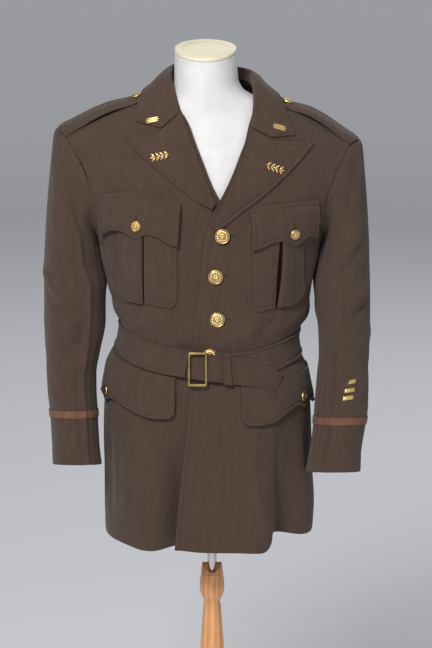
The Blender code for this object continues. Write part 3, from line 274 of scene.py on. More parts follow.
# Creases of the body: the line as (turn, height), half width, height of the ridge (a furrow is
# negative), and how much narrower its steep side is
BODY_CREASES = (
    # left front, from the armhole across the chest and under the pocket
    (((58, 1.335), (50, 1.300), (44, 1.262)), 0.012, 0.0022, 0.6),
    (((52, 1.392), (47, 1.352), (45, 1.318)), 0.015, -0.0020, 1.0),
    (((20, 1.262), (30, 1.248), (41, 1.243)), 0.009, 0.0026, 0.6),
    (((14, 1.232), (24, 1.212), (33, 1.205)), 0.008, -0.0022, 1.0),
    (((15, 1.170), (34, 1.100), (52, 1.062)), 0.013, 0.0024, 0.7),
    (((8, 1.120), (24, 1.078), (40, 1.050)), 0.010, 0.0032, 0.6),
    (((5, 1.088), (18, 1.060), (31, 1.041)), 0.008, -0.0026, 0.8),
    (((62, 1.100), (66, 1.070), (70, 1.042)), 0.010, 0.0020, 0.8),
    (((79, 1.120), (78, 1.078), (80, 1.040)), 0.009, -0.0014, 1.0),
    (((48, 1.076), (56, 1.058), (66, 1.034)), 0.008, -0.0018, 0.8),
    # right front
    (((121, 1.345), (130, 1.312), (138, 1.283)), 0.012, 0.0022, 0.6),
    (((133, 1.398), (136, 1.355), (140, 1.318)), 0.016, -0.0022, 1.0),
    (((160, 1.270), (152, 1.262), (143, 1.262)), 0.009, 0.0024, 0.7),
    (((166, 1.180), (150, 1.118), (131, 1.072)), 0.014, 0.0026, 0.7),
    (((172, 1.132), (158, 1.092), (143, 1.062)), 0.010, 0.0032, 0.6),
    (((175, 1.098), (162, 1.070), (150, 1.052)), 0.008, -0.0026, 0.8),
    (((104, 1.112), (106, 1.076), (106, 1.040)), 0.011, -0.0020, 0.8),
    (((112, 1.098), (117, 1.066), (120, 1.042)), 0.010, 0.0024, 0.7),
    (((95, 1.190), (99, 1.150), (101, 1.110)), 0.009, 0.0013, 1.0),
    # skirt, below the belt
    (((60, 0.968), (58, 0.930), (52, 0.870)), 0.010, 0.0020, 0.8),
    (((80, 0.960), (77, 0.900), (74, 0.820)), 0.014, -0.0018, 1.0),
    (((72, 0.880), (67, 0.800), (63, 0.700)), 0.012, 0.0030, 0.6),
    (((30, 0.890), (27, 0.800), (26, 0.692)), 0.012, 0.0040, 0.6),
    (((50, 0.900), (49, 0.810), (48, 0.700)), 0.009, -0.0030, 0.7),
    (((110, 0.960), (114, 0.880), (116, 0.790)), 0.012, 0.0016, 0.9),
    (((133, 0.900), (136, 0.820), (139, 0.700)), 0.013, 0.0030, 0.7),
    (((156, 0.905), (157, 0.820), (155, 0.700)), 0.012, -0.0030, 0.8),
    (((146, 0.880), (148, 0.810), (149, 0.730)), 0.008, 0.0018, 0.7),
    # back: drape from the shoulder blades, blousing over the belt, and skirt
    (((205, 1.330), (216, 1.262), (222, 1.190)), 0.020, 0.0030, 0.8),
    (((212, 1.300), (226, 1.215), (236, 1.130)), 0.014, -0.0024, 1.0),
    (((335, 1.322), (325, 1.250), (318, 1.172)), 0.020, 0.0030, 0.8),
    (((327, 1.290), (312, 1.196), (303, 1.112)), 0.013, -0.0024, 1.0),
    (((192, 1.180), (206, 1.110), (224, 1.064)), 0.014, 0.0036, 0.6),
    (((190, 1.130), (202, 1.084), (214, 1.058)), 0.009, -0.0028, 0.8),
    (((349, 1.172), (333, 1.106), (314, 1.056)), 0.013, 0.0034, 0.6),
    (((352, 1.118), (338, 1.076), (326, 1.052)), 0.009, -0.0028, 0.8),
    (((240, 1.120), (243, 1.084), (246, 1.054)), 0.010, 0.0030, 0.7),
    (((254, 1.100), (255, 1.074), (256, 1.050)), 0.008, -0.0022, 0.8),
    (((284, 1.128), (283, 1.090), (281, 1.052)), 0.011, 0.0032, 0.7),
    (((297, 1.094), (295, 1.070), (293, 1.050)), 0.008, -0.0020, 0.8),
    (((262, 1.400), (258, 1.360), (250, 1.338)), 0.014, 0.0016, 1.0),
    (((250, 1.418), (262, 1.404), (278, 1.402), (290, 1.416)), 0.010, 0.0022, 0.7),
    (((222, 0.985), (222, 0.900), (219, 0.800)), 0.013, 0.0030, 0.7),
    (((247, 0.985), (250, 0.900), (251, 0.760)), 0.012, 0.0034, 0.7),
    (((280, 0.985), (281, 0.890), (282, 0.740)), 0.012, -0.0030, 0.8),
    (((304, 0.980), (306, 0.900), (305, 0.780)), 0.013, 0.0032, 0.7),
    (((334, 0.960), (333, 0.880), (331, 0.720)), 0.013, -0.0030, 0.8),
    (((196, 0.960), (195, 0.880), (193, 0.740)), 0.012, -0.0028, 0.8),
)
# Creases of the sleeves: the line as (share round the sleeve, height), half width, ridge, steepness
SLEEVE_CREASES = {
    "left": (
        (((0.02, 1.345), (0.10, 1.290), (0.16, 1.228)), 0.013, 0.0030, 0.6),
        (((-0.05, 1.338), (-0.10, 1.280), (-0.16, 1.216)), 0.014, 0.0030, 0.6),
        (((0.13, 1.318), (0.19, 1.270), (0.24, 1.222)), 0.010, -0.0028, 0.8),
        (((0.10, 1.225), (0.22, 1.182), (0.33, 1.158)), 0.013, 0.0036, 0.5),
        (((0.14, 1.190), (0.25, 1.148), (0.36, 1.128)), 0.009, -0.0030, 0.8),
        (((0.04, 1.130), (0.18, 1.092), (0.31, 1.078)), 0.013, 0.0040, 0.5),
        (((0.08, 1.098), (0.20, 1.062), (0.33, 1.055)), 0.008, -0.0030, 0.8),
        (((0.30, 1.060), (0.20, 1.030), (0.08, 1.010)), 0.012, 0.0040, 0.5),
        (((0.33, 1.022), (0.22, 0.998), (0.12, 0.984)), 0.009, -0.0026, 0.8),
        (((0.02, 1.045), (-0.08, 1.010), (-0.20, 0.992)), 0.012, 0.0030, 0.6),
        (((0.05, 0.985), (-0.05, 0.960), (-0.16, 0.948)), 0.010, -0.0026, 0.8),
        (((0.36, 0.992), (0.27, 0.968), (0.18, 0.958)), 0.010, 0.0026, 0.6),
        (((0.10, 0.950), (0.19, 0.930), (0.28, 0.925)), 0.009, 0.0018, 0.8),
        (((-0.20, 1.190), (-0.10, 1.140), (-0.02, 1.118)), 0.012, -0.0026, 0.8),
        (((-0.26, 1.110), (-0.16, 1.072), (-0.08, 1.060)), 0.013, 0.0034, 0.6),
        (((0.30, 1.330), (0.36, 1.270), (0.42, 1.230)), 0.010, 0.0024, 0.7),
    ),
    "right": (
        (((0.09, 1.350), (0.19, 1.275), (0.28, 1.205), (0.325, 1.120), (0.325, 1.040)), 0.0055, 0.0062, 0.45),
        (((0.13, 1.345), (0.24, 1.270), (0.325, 1.190)), 0.012, -0.0022, 0.8),
        (((0.03, 1.362), (0.10, 1.300), (0.15, 1.236)), 0.013, 0.0032, 0.6),
        (((-0.05, 1.350), (-0.11, 1.286), (-0.17, 1.222)), 0.014, 0.0030, 0.6),
        (((0.14, 1.330), (0.20, 1.284), (0.25, 1.240)), 0.010, -0.0028, 0.8),
        (((0.06, 1.250), (0.20, 1.206), (0.33, 1.190)), 0.012, 0.0036, 0.5),
        (((0.09, 1.205), (0.22, 1.160), (0.35, 1.150)), 0.009, -0.0030, 0.8),
        (((0.00, 1.150), (0.15, 1.116), (0.30, 1.108)), 0.013, 0.0042, 0.5),
        (((0.06, 1.110), (0.19, 1.078), (0.32, 1.070)), 0.008, -0.0030, 0.8),
        (((0.32, 1.080), (0.20, 1.044), (0.06, 1.032)), 0.013, 0.0044, 0.5),
        (((0.34, 1.042), (0.23, 1.010), (0.10, 1.000)), 0.009, -0.0030, 0.8),
        (((0.00, 1.062), (-0.10, 1.030), (-0.21, 1.018)), 0.012, 0.0032, 0.6),
        (((0.04, 1.000), (-0.06, 0.972), (-0.18, 0.966)), 0.010, -0.0026, 0.8),
        (((0.35, 1.000), (0.25, 0.972), (0.13, 0.964)), 0.011, 0.0030, 0.6),
        (((0.08, 0.962), (0.18, 0.944), (0.28, 0.940)), 0.008, -0.0018, 0.8),
        (((-0.22, 1.200), (-0.12, 1.156), (-0.04, 1.140)), 0.012, -0.0026, 0.8),
        (((-0.27, 1.120), (-0.16, 1.086), (-0.08, 1.074)), 0.013, 0.0034, 0.6),
    ),
}


def read(rows, column, at):
    """Values of a column at places along the table's first column, on a smooth curve."""
    xs = rows[next(iter(rows))]
    ys = rows[column]
    steps = np.diff(ys) / np.diff(xs)
    product = steps[:-1] * steps[1:]
    total = steps[:-1] + steps[1:]
    inner = np.where(product > 0, 2 * product / np.where(product > 0, total, 1.0), 0.0)
    bend = np.concatenate(([steps[0]], inner, [steps[-1]]))
    at = np.clip(np.asarray(at, float), xs[0], xs[-1])
    i = np.clip(np.searchsorted(xs, at, side="right") - 1, 0, len(xs) - 2)
    wide = xs[i + 1] - xs[i]
    t = (at - xs[i]) / wide
    return (
        ys[i] * (2 * t**3 - 3 * t**2 + 1)
        + ys[i + 1] * (3 * t**2 - 2 * t**3)
        + bend[i] * wide * (t**3 - 2 * t**2 + t)
        + bend[i + 1] * wide * (t**3 - t**2)
    )


def step(low, high, at):
    """0 below low, 1 above high, smooth between."""
    t = np.clip((np.asarray(at, float) - low) / (high - low), 0.0, 1.0)
    return t * t * (3 - 2 * t)


def power(value, exponent):
    """A power that keeps the sign of its base."""
    return np.abs(value) ** exponent * np.sign(value)


def unit(vectors):
    """Vectors of length one."""
    return vectors / np.maximum(np.linalg.norm(vectors, axis=-1, keepdims=True), 1e-12)


def stack(*parts):
    """Points from arrays of coordinates."""
    return np.stack(np.broadcast_arrays(*parts), axis=-1)


def distances(points):
    """Distances along a line of points from its start."""
    return np.concatenate(([0.0], np.cumsum(np.linalg.norm(np.diff(points, axis=0), axis=1))))


def drop(x):
    """How far the shoulder line lies below the base of the neck."""
    return TOP_LEVEL - read(SHOULDERS, "height", x)


def slope(level):
    """Share of the shoulders' slope that a level takes."""
    t = np.maximum(0.0, (level - SLOPE_LEVEL) / (TOP_LEVEL - SLOPE_LEVEL))
    return t * t


def dome(level, fullness):
    """Share of the body's depth that is left near the shoulder line."""
    t = np.clip((TOP_LEVEL - level) / DOME_HEIGHT, 0.0, 1.0)
    return np.maximum(0.0, 1 - (1 - t) ** fullness) ** (1 / fullness)


def span(level):
    """Middle and half width of the body at a level."""
    left = read(RINGS, "left", level)
    right = read(RINGS, "right", level)
    return (left + right) / 2, (left - right) / 2


def body(turn, level, under=False):
    """Points of the coat body's smooth outer face."""
    turn = np.mod(np.asarray(turn, float), 360.0)
    level = np.minimum(np.asarray(level, float), TOP_LEVEL)
    middle, half = span(level)
    side = power(np.cos(np.radians(turn)), 2 / ROUNDING)
    ahead = power(np.sin(np.radians(turn)), 2 / ROUNDING)
    front = turn < 180.0
    depth = np.where(front, read(RINGS, "front", level), read(RINGS, "back", level))
    x = half * side
    y = -depth * ahead * np.where(front, dome(level, 2.0), dome(level, 3.0))
    push = np.zeros(np.broadcast(turn, level).shape)
    for at, wide, far, start in FOLDS + (UNDER_FOLDS if under else ()):
        push = push + far * step(start, HEM_LEVEL - 0.03, level) * np.exp(-(((turn - at) / wide) ** 2))
    out = unit(stack(side / half, -ahead / depth))
    x = x + out[..., 0] * push + middle
    y = y + out[..., 1] * push
    return stack(x, y, level - drop(x) * slope(level))


def facing(turn, level, under=False):
    """Which way the body's smooth face looks."""
    across = body(turn + 0.6, level, under) - body(turn - 0.6, level, under)
    up = body(turn, level + 0.002, under) - body(turn, level - 0.002, under)
    out = unit(np.cross(across, up))
    here = body(turn, level, under)
    core = stack(-0.005, 0.0, np.minimum(here[..., 2], 1.30))
    return np.where((np.sum(out * (here - core), axis=-1) < 0)[..., None], -out, out)


def girth(turn):
    """Distance round a mean ring of the body, from a turn of 0."""
    turns = np.linspace(-360, 720, 1081)
    ring = body(np.mod(turns, 360), 1.08)
    return np.interp(turn, turns, distances(ring))


def ridges(creases, u, v):
    """Height of listed creases over places (u, v) in metres."""
    rise = np.zeros(np.broadcast(u, v).shape)
    for line, wide, high, steep in creases:
        line = np.array(line, float)
        lengths = np.linalg.norm(np.diff(line, axis=0), axis=1)
        total = lengths.sum()
        best = np.full(rise.shape, 1e9)
        sign = np.zeros(rise.shape)
        place = np.zeros(rise.shape)
        gone = 0.0
        for a, b, length in zip(line, line[1:], lengths):
            du, dv = (b - a) / length
            t = (u - a[0]) * du + (v - a[1]) * dv
            clamped = np.clip(t, 0.0, length)
            away_u = u - a[0] - du * clamped
            away_v = v - a[1] - dv * clamped
            far = np.hypot(away_u, away_v)
            closer = far < best
            best = np.where(closer, far, best)
            sign = np.where(closer, np.sign(away_u * dv - away_v * du), sign)
            place = np.where(closer, (gone + clamped) / total, place)
            gone += length
        width = wide * np.where(sign > 0, steep, 1.0)
        taper = step(-0.05, 0.35, place) * step(1.05, 0.55, place)
        rise += high * taper * np.exp(-((best / width) ** 2))
    return rise


def body_creases():
    """The body's creases with their turns unrolled to metres."""
    return [
        ([(float(girth(turn)), height) for turn, height in line], wide, high, steep)
        for line, wide, high, steep in BODY_CREASES
    ]


def belt_middle(turn):
    """Height of the belt's middle line at a turn, the whole way round."""
    turn = np.mod(np.asarray(turn, float), 360.0)
    return read(BELT, "middle", np.where(turn > 90.0, turn - 360.0, turn))


def blouse(turn, level):
    """How far the cloth is drawn in under the belt and swells above and below it."""
    away = level - belt_middle(turn)
    above = np.exp(-(((away - 0.050) / 0.021) ** 2)) * 0.0042
    uneven = 1.0 + 0.45 * np.sin(np.radians(turn * 5.0 + 40.0)) + 0.25 * np.sin(np.radians(turn * 11.0))
    below = np.exp(-(((away + 0.048) / 0.020) ** 2)) * 0.0022
    return above * uneven + below


def wear(turn, level, strength):
    """All small relief of the body's cloth, which dies away under the belt."""
    turn = np.mod(turn, 360.0)
    if "body" not in CREASE_LINES:
        CREASE_LINES["body"] = body_creases()
    rise = ridges(CREASE_LINES["body"], girth(turn), level)
    free = step(0.022, 0.038, np.abs(level - belt_middle(turn)))
    return strength * (rise * free + blouse(turn, level))


def face(turn, level, lift=0.0, under=False):
    """Points of the body's creased cloth, moved out by a lift."""
    strength = bpy.context.scene.coat_cloth.crease
    rise = wear(turn, level, strength) + lift
    return body(turn, level, under) + facing(turn, level, under) * rise[..., None]


def turn_at(x, level, back=False):
    """Turn of the point of a level's ring that has this x."""
    middle, half = span(level)
    share = np.clip((x - middle) / half, -1.0, 1.0)
    turn = np.degrees(np.arccos(power(share, ROUNDING / 2)))
    return 360.0 - turn if back else turn


def level_of(x, z):
    """Level of the point of the body's face at this x and height."""
    level = np.asarray(z, float)
    for _ in range(14):
        level = z + drop(x) * slope(level)
    return level


def on_front(x, z, lift=0.0, under=False):
    """Points of the body's front at these x and heights."""
    level = level_of(x, z)
    return face(turn_at(x, level), level, lift, under)


def shoulder_height(x, y):
    """Height of the body's face over places seen from above, near the shoulder line."""
    x, y = np.broadcast_arrays(np.asarray(x, float), np.asarray(y, float))
    low = np.full(x.shape, TOP_LEVEL - DOME_HEIGHT)
    high = np.full(x.shape, TOP_LEVEL)
    for _ in range(36):
        level = (low + high) / 2
        turn = np.where(y > 0, turn_at(x, level, True), turn_at(x, level))
        far = np.abs(body(turn, level)[..., 1]) > np.abs(y)
        low = np.where(far, level, low)
        high = np.where(far, high, level)
    return low - drop(x) * slope(low)


def on_shoulder(x, y, lift=0.0):
    """Points of the body's face over places seen from above, moved out by a lift."""
    nudge = 0.002
    rise_x = (shoulder_height(x + nudge, y) - shoulder_height(x - nudge, y)) / (2 * nudge)
    rise_y = (shoulder_height(x, y + nudge) - shoulder_height(x, y - nudge)) / (2 * nudge)
    out = unit(stack(-rise_x, -rise_y, 1.0))
    return stack(x, y, shoulder_height(x, y)) + out * np.asarray(lift)[..., None]


def curve_through(points, places):
    """Points at shares of the length of a smooth line through the given ones."""
    points = np.array(points, float)
    lengths = distances(points)
    rows = {"length": lengths / lengths[-1]}
    for axis in range(points.shape[1]):
        rows[str(axis)] = points[:, axis]
    return stack(*[read(rows, str(axis), places) for axis in range(points.shape[1])])


def stations(length, count, first=True):
    """Distances across a piece of this length, with narrow steps at its topstitched edges."""
    near = np.array([0.0, 0.0006, 0.0014, 0.0026, 0.0040, 0.0052, STITCH_LINE, 0.0072, 0.0086])
    length = np.asarray(length, float)[..., None]
    low = near * np.ones_like(length) if first else np.zeros_like(length)
    high = length - near[::-1]
    inner = np.linspace(0, 1, count + 2)[1:-1]
    middle = low[..., -1:] + (high[..., :1] - low[..., -1:]) * inner
    return np.concatenate([low, middle, high], axis=-1)


def edge_relief(distance):
    """Rise of cloth near a topstitched edge: a rolled rim, a padded strip, and the stitches' groove."""
    rim = -0.0010 * np.exp(-((distance / 0.0011) ** 1.4))
    puff = 0.0010 * np.exp(-(((distance - 0.0030) / 0.0019) ** 2))
    groove = -0.0011 * np.exp(-(((distance - STITCH_LINE) / 0.0011) ** 2))
    return rim + puff + groove


def seam_relief(distance):
    """Rise of cloth next to a plain seam."""
    return -0.0016 * np.exp(-np.abs(distance) / 0.0022)


def hem_relief(distance, rim, groove, deep):
    """Rise of cloth above a turned hem: its rolled rim, and the groove where its turning is sewn."""
    return -rim * np.exp(-((distance / 0.0011) ** 1.4)) - groove * np.exp(-(((distance - deep) / 0.003) ** 2))


def grid_faces(rows, columns, ring=False):
    """Faces of a grid of points."""
    index = np.arange(rows * columns).reshape(rows, columns)
    if ring:
        index = np.concatenate([index, index[:, :1]], axis=1)
    a, b = index[:-1, :-1], index[:-1, 1:]
    c, d = index[1:, 1:], index[1:, :-1]
    return np.stack([a, b, c, d], axis=-1).reshape(-1, 4)


def capped_faces(rows, columns):
    """Faces of rings of points, closed by one face at each end."""
    faces = [tuple(face) for face in grid_faces(rows, columns, True)]
    return faces + [tuple(range(columns))[::-1], tuple(range((rows - 1) * columns, rows * columns))]


def make(name, points, faces, material, uv=None):
    """Mesh piece that rides on the frame's root body."""
    mesh = bpy.data.meshes.new(name)
    mesh.from_pydata([tuple(map(float, p)) for p in points], [], [tuple(map(int, f)) for f in faces])
    mesh.validate()
    mesh.shade_smooth()
    if uv is not None:
        layer = mesh.uv_layers.new(name="cloth")
        corners = np.zeros(len(mesh.loops), dtype=int)
        mesh.loops.foreach_get("vertex_index", corners)
        layer.data.foreach_set("uv", np.asarray(uv, float)[corners].reshape(-1))
    piece = bpy.data.objects.new(name, mesh)
    bpy.context.scene.collection.objects.link(piece)
    mesh.materials.append(material)
    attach(piece, "root")
    return piece


def cloth(name, grid, outward, replaces, wall=None,
          ring=False, material=None, offset=(0.0, 0.0)):
    """Thin shell of cloth from the points of its outer face; outward is a way out at its middle."""
    rows, columns = grid.shape[:2]
    faces = grid_faces(rows, columns, ring)
    j, i = (rows - 1) // 2, (columns - 1) // 2
    normal = np.cross(grid[j + 1, i + 1] - grid[j, i], grid[j + 1, i] - grid[j, i + 1])
    if np.dot(normal, outward) < 0:
        faces = faces[:, ::-1]
    uv = np.stack(np.meshgrid(distances(grid[j]), distances(grid[:, i])), axis=-1).reshape(-1, 2) + np.array(offset)
    piece = make(name, grid.reshape(-1, 3), faces, material or MATERIALS["cloth"], uv)
    shell = piece.modifiers.new("wall", "SOLIDIFY")
    shell.thickness = wall or bpy.context.scene.coat_cloth.wall
    shell.offset = -1.0
    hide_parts(*replaces)
    a = grid[:-1, :-1]
    across = np.linalg.norm(np.cross(grid[1:, 1:] - a, grid[1:, :-1] - a), axis=-1)
    other = np.linalg.norm(np.cross(grid[:-1, 1:] - a, grid[1:, 1:] - a), axis=-1)
    area = float((across + other).sum() / 2)
    wide = float(np.linalg.norm(np.diff(grid, axis=1), axis=-1).sum(axis=1).max())
    long = float(np.linalg.norm(np.diff(grid, axis=0), axis=-1).sum(axis=0).max())
    area = min(max(area, 0.31 * wide * long), wide * long)
    return piece


def normals_of(grid, outward):
    """Outward normals of a grid of points."""
    across = np.gradient(grid, axis=1)
    down = np.gradient(grid, axis=0)
    normals = unit(np.cross(across, down))
    j, i = grid.shape[0] // 2, grid.shape[1] // 2
    return -normals if np.dot(normals[j, i], outward) < 0 else normals


def outward_of(grid):
    """A way out of the body at the middle of a grid."""
    middle = grid[grid.shape[0] // 2, grid.shape[1] // 2]
    return middle - np.array((-0.005, 0.0, middle[2]))


def between(places, lengths, values):
    """Values of a line of points at places along its length."""
    return stack(*[np.interp(places, lengths, values[:, k]) for k in range(3)])


def stitches(name, lines, crosswise=False, length=None, thick=0.00030):
    """Rows of small stitches, each a spindle of thread that lies along its line."""
    settings = bpy.context.scene.coat_cloth
    pitch = settings.stitch_pitch if length is None else length * 1.25
    length = length or settings.stitch_pitch * 0.74
    points, faces = [], []
    for line, normals in lines:
        lengths = distances(line)
        if lengths[-1] < pitch:
            continue
        count = int(lengths[-1] / pitch)
        middles = (np.arange(count) + 0.5) * lengths[-1] / count
        centre = between(middles, lengths, line)
        normal = unit(between(middles, lengths, normals))
        way = unit(between(middles + 0.0005, lengths, line) - between(middles - 0.0005, lengths, line))
        if crosswise:
            way = unit(np.cross(way, normal))
        beside = unit(np.cross(way, normal))
        for c, n, w, s in zip(centre, normal, way, beside):
            base = len(points)
            points += [c - w * length / 2 - n * 0.0001, c + w * length / 2 - n * 0.0001]
            for t in (-0.25, 0.25):
                for a in (0.0, 2.094, 4.189):
                    points.append(c + w * length * t + (n * (cos(a) + 0.35) + s * sin(a)) * thick)
            for k in range(3):
                m = (k + 1) % 3
                faces.append((base, base + 2 + k, base + 2 + m))
                faces.append((base + 1, base + 5 + m, base + 5 + k))
                faces.append((base + 2 + k, base + 5 + k, base + 5 + m, base + 2 + m))
    make(name, points, faces, MATERIALS["thread"])


def sew(grid, outward, *lines):
    """Notes the parts of a grid's rows and columns that carry stitches."""
    normals = normals_of(grid, np.array(outward, float))
    THREADS.extend((grid[line], normals[line]) for line in lines)


def tree_of(names):
    """Search tree over the shown faces of some pieces."""
    graph = bpy.context.evaluated_depsgraph_get()
    return [BVHTree.FromObject(bpy.data.objects[name], graph) for name in names]


def touch(names, start, direction):
    """Where a line first meets the nearest of some pieces, and which way the face there looks."""
    best = None
    for tree in tree_of(names):
        point, normal, _, far = tree.ray_cast(Vector(start), Vector(direction))
        if point is not None and (best is None or far < best[2]):
            best = (point, normal, far)
    if best is None:
        raise RuntimeError("nothing is met from " + str(tuple(start)))
    point, normal, _ = best
    if normal.dot(Vector(direction)) > 0:
        normal.negate()
    return point, normal


def panel_levels(front):
    """Levels of a panel's rows, close together at the hem and under the arm."""
    hem = HEM_LEVEL + np.array([0.0, 0.0006, 0.0014, 0.0026, 0.0040])
    skirt = np.linspace(0.694, 0.960, 44)
    waist = np.linspace(0.965, 1.075, 30)
    chest = np.linspace(1.080, ARMPIT_LEVEL, 22)
    arm = np.linspace(1.1925, 1.300, 20)
    if front:
        ahead = np.linspace(0.86, 0.0, 34)
        top = TOP_LEVEL - DOME_HEIGHT * (1 - np.sqrt(1 - ahead**2))
        top = np.concatenate((np.linspace(1.308, top[0] - 0.006, 4), top))
        top[-1] = TOP_LEVEL - 3e-7
    else:
        near_top = [NECK_SEAM_LEVEL, 1.4475, 1.450, 1.4530, 1.4560, 1.4585, 1.4605, 1.4627, 1.4645, 1.4660, 1.4672,
                    1.4682, 1.4690, 1.4694, 1.46975, 1.4699, TOP_LEVEL - 1e-9]
        top = np.concatenate((np.linspace(1.306, 1.440, 26), near_top))
    levels = np.concatenate((hem, skirt, waist, chest, arm, top))
    return levels[np.concatenate(([True], np.diff(levels) > 1e-10))]


def hem_shift(turn, level):
    """How far the uneven hem moves a level, fading out towards the waist."""
    fade = 1 - step(HEM_LEVEL, 0.98, level)
    return (read(HEM, "height", np.mod(turn, 360.0)) - HEM_LEVEL) * fade


def under_lift(x, level):
    """The under panel lies below the over panel where they overlap."""
    edge = read(OVER_EDGE, "x", level)
    return -0.0036 * step(edge - 0.036, edge - 0.010, x)


# Waist darts of the fronts, as turns at each level
DART = {
    "left": lambda level: 52.0 + 6.0 * (np.asarray(level) - 1.0),
    "right": lambda level: 133.0 - 6.0 * (np.asarray(level) - 1.0),
}


def front_panel(side):
    """One front, from its edge and roll line round to the side seam and armhole."""
    over = side == "left"
    levels = panel_levels(True)
    edge = read(OVER_EDGE if over else UNDER_EDGE, "x", levels)
    side_turn = np.full(levels.shape, SEAM_TURN if over else 180 - SEAM_TURN)
    arm = turn_at(read(ARMHOLES, side + "_front", levels), levels)
    end = np.where(levels > ARMPIT_LEVEL, arm, side_turn)
    start = turn_at(edge, levels)
    metres = np.abs(girth(start) - girth(end))
    away = stations(metres, 84)
    share = away / metres[:, None]
    turn = start[:, None] + (end - start)[:, None] * share
    level = levels[:, None] + hem_shift(turn, levels[:, None])
    stitched = step(1.262, 1.235, levels)[:, None]
    relief = edge_relief(away) * stitched + seam_relief(metres[:, None] - away)
    relief = relief + hem_relief(levels[:, None] - HEM_LEVEL, 0.0009, 0.0003, 0.030)
    if over:
        relief = relief + 0.0010 * (1 - step(0.0, 0.004, away)) * (1 - stitched)
    else:
        relief = relief + under_lift(body(turn, level)[..., 0], level)
    relief = relief + seam_relief(np.minimum(np.abs(turn - DART[side](levels)[:, None]) * 0.0028, 0.02)) * 0.6 * (
        step(0.985, 1.02, levels) * step(1.20, 1.15, levels))[:, None]
    grid = face(turn, level, relief, under=not over)
    if over:
        sew(grid[levels < 1.255][4:], (0, -1, 0), np.s_[:, 6])
    return cloth("coat_front_" + side, grid, (SIDES[side] * 0.5, -1, 0), ["front_" + side])


def back_panel(side):
    """One back, from the centre seam and neckline round to the side seam and armhole."""
    levels = panel_levels(False)
    toward = SIDES[side]
    middle = span(levels)[0]
    inner = middle + toward * 0.00001
    inner = inner + toward * np.where(levels > NECK_SEAM_LEVEL, read(NECKLINE, "x", levels), 0.0)
    start = turn_at(inner, levels, back=True)
    arm = turn_at(read(ARMHOLES, side + "_back", levels), levels, back=True)
    end = np.where(levels > ARMPIT_LEVEL, arm, 360 - SEAM_TURN if side == "left" else 180 + SEAM_TURN)
    metres = np.abs(girth(start) - girth(end))
    away = stations(metres, 62)
    share = away / metres[:, None]
    turn = start[:, None] + (end - start)[:, None] * share
    level = levels[:, None] + hem_shift(turn, levels[:, None])
    relief = seam_relief(away) + seam_relief(metres[:, None] - away)
    relief = relief + hem_relief(levels[:, None] - HEM_LEVEL, 0.0009, 0.0003, 0.030)
    grid = face(turn, level, relief)
    return cloth("coat_back_" + side, grid, (toward * 0.4, 1, 0), ["back_" + side],
                 offset=(0.7, 0.0))


def armhole_point(side, share):
    """Turns and levels round the armhole, from the shoulder tip forward and under the arm."""
    middle = (TOP_LEVEL + ARMPIT_LEVEL) / 2
    half = (TOP_LEVEL - ARMPIT_LEVEL) / 2
    level = middle + half * np.cos(2 * pi * share)
    back = np.mod(share, 1.0) > 0.5
    x = np.where(back, read(ARMHOLES, side + "_back", level), read(ARMHOLES, side + "_front", level))
    turn = np.where(back, turn_at(x, level, True), turn_at(x, level))
    return turn, level


def armhole_frame(side, share):
    """Points of the armhole and the way that the body's face runs on past it."""
    turn, level = armhole_point(side, share)
    here = body(turn, level)
    before = body(*armhole_point(side, share - 0.01))
    after = body(*armhole_point(side, share + 0.01))
    out = unit(np.cross(facing(turn, level), after - before)) * SIDES[side]
    return here, out


def sleeve_ring(side, share, level):
    """Points of a sleeve's smooth outer face below the armpit."""
    rows = SLEEVES[side]
    outer = read(rows, "outer", level)
    inner = read(rows, "inner", level)
    middle = read(rows, "middle", level)
    deep = read(rows, "deep", level)
    x = (outer + inner) / 2 + (outer - inner) / 2 * power(np.cos(2 * pi * share), 0.88)
    y = middle - deep * power(np.sin(2 * pi * share), 0.88)
    tilt = 0.22 * (1 - step(0.84, 1.02, level))
    return stack(x, y, level + tilt * (middle - y))


FRONT_SEAM_SHARE = 0.41
BACK_SEAM_SHARE = 0.655
SLEEVE_GIRTH = 0.36


def sleeve_face(side, share, levels):
    """Points of a sleeve's smooth face: rows from the armhole seam to the cuff, and how far round."""
    here, out = armhole_frame(side, share)
    first = here + out * 0.0003
    second = here + out * 0.004
    target = sleeve_ring(side, share, np.full(share.shape, 1.150))
    high = (1 + np.cos(2 * pi * share)) / 2
    toward = SIDES[side]
    bulge = 0.018 + 0.030 * np.abs(np.sin(2 * pi * share))
    start = out * bulge[:, None] + stack(toward * 0.034 * (1 - high) ** 2, 0.0, 0.0)
    end = stack(0.0, 0.0, -0.05 - 0.10 * high)
    rows = [first, here + out * 0.0012, here + out * 0.0024, second]
    for t in np.linspace(0.04, 0.97, 26):
        a = second * (2 * t**3 - 3 * t**2 + 1) + start * (t**3 - 2 * t**2 + t)
        b = target * (3 * t**2 - 2 * t**3) + end * (t**3 - t**2)
        rows.append(a + b)
    for level in levels:
        rows.append(sleeve_ring(side, share, np.full(share.shape, level)))
    return np.array(rows)


def sleeve_relief(side, share, z, top):
    """Creases and pressed fold of a sleeve at shares and levels; `top` is 1 on the top piece."""
    cuff = SLEEVES[side]["level"][0]
    lines = [
        ([(place * SLEEVE_GIRTH, height) for place, height in line], wide, high, steep)
        for line, wide, high, steep in SLEEVE_CREASES[side]
    ]
    u = share * SLEEVE_GIRTH
    creases = ridges(lines, u, z) + ridges(lines, u - SLEEVE_GIRTH, z) * (1 - top)
    beside = (share - 0.325) * SLEEVE_GIRTH
    press = 0.0036 * np.exp(-((beside / 0.0045) ** 2)) - 0.0026 * np.exp(-(((beside + 0.013) / 0.009) ** 2))
    return creases * step(cuff - 0.02, cuff + 0.10, z), press * step(1.16, 1.00, z) * top


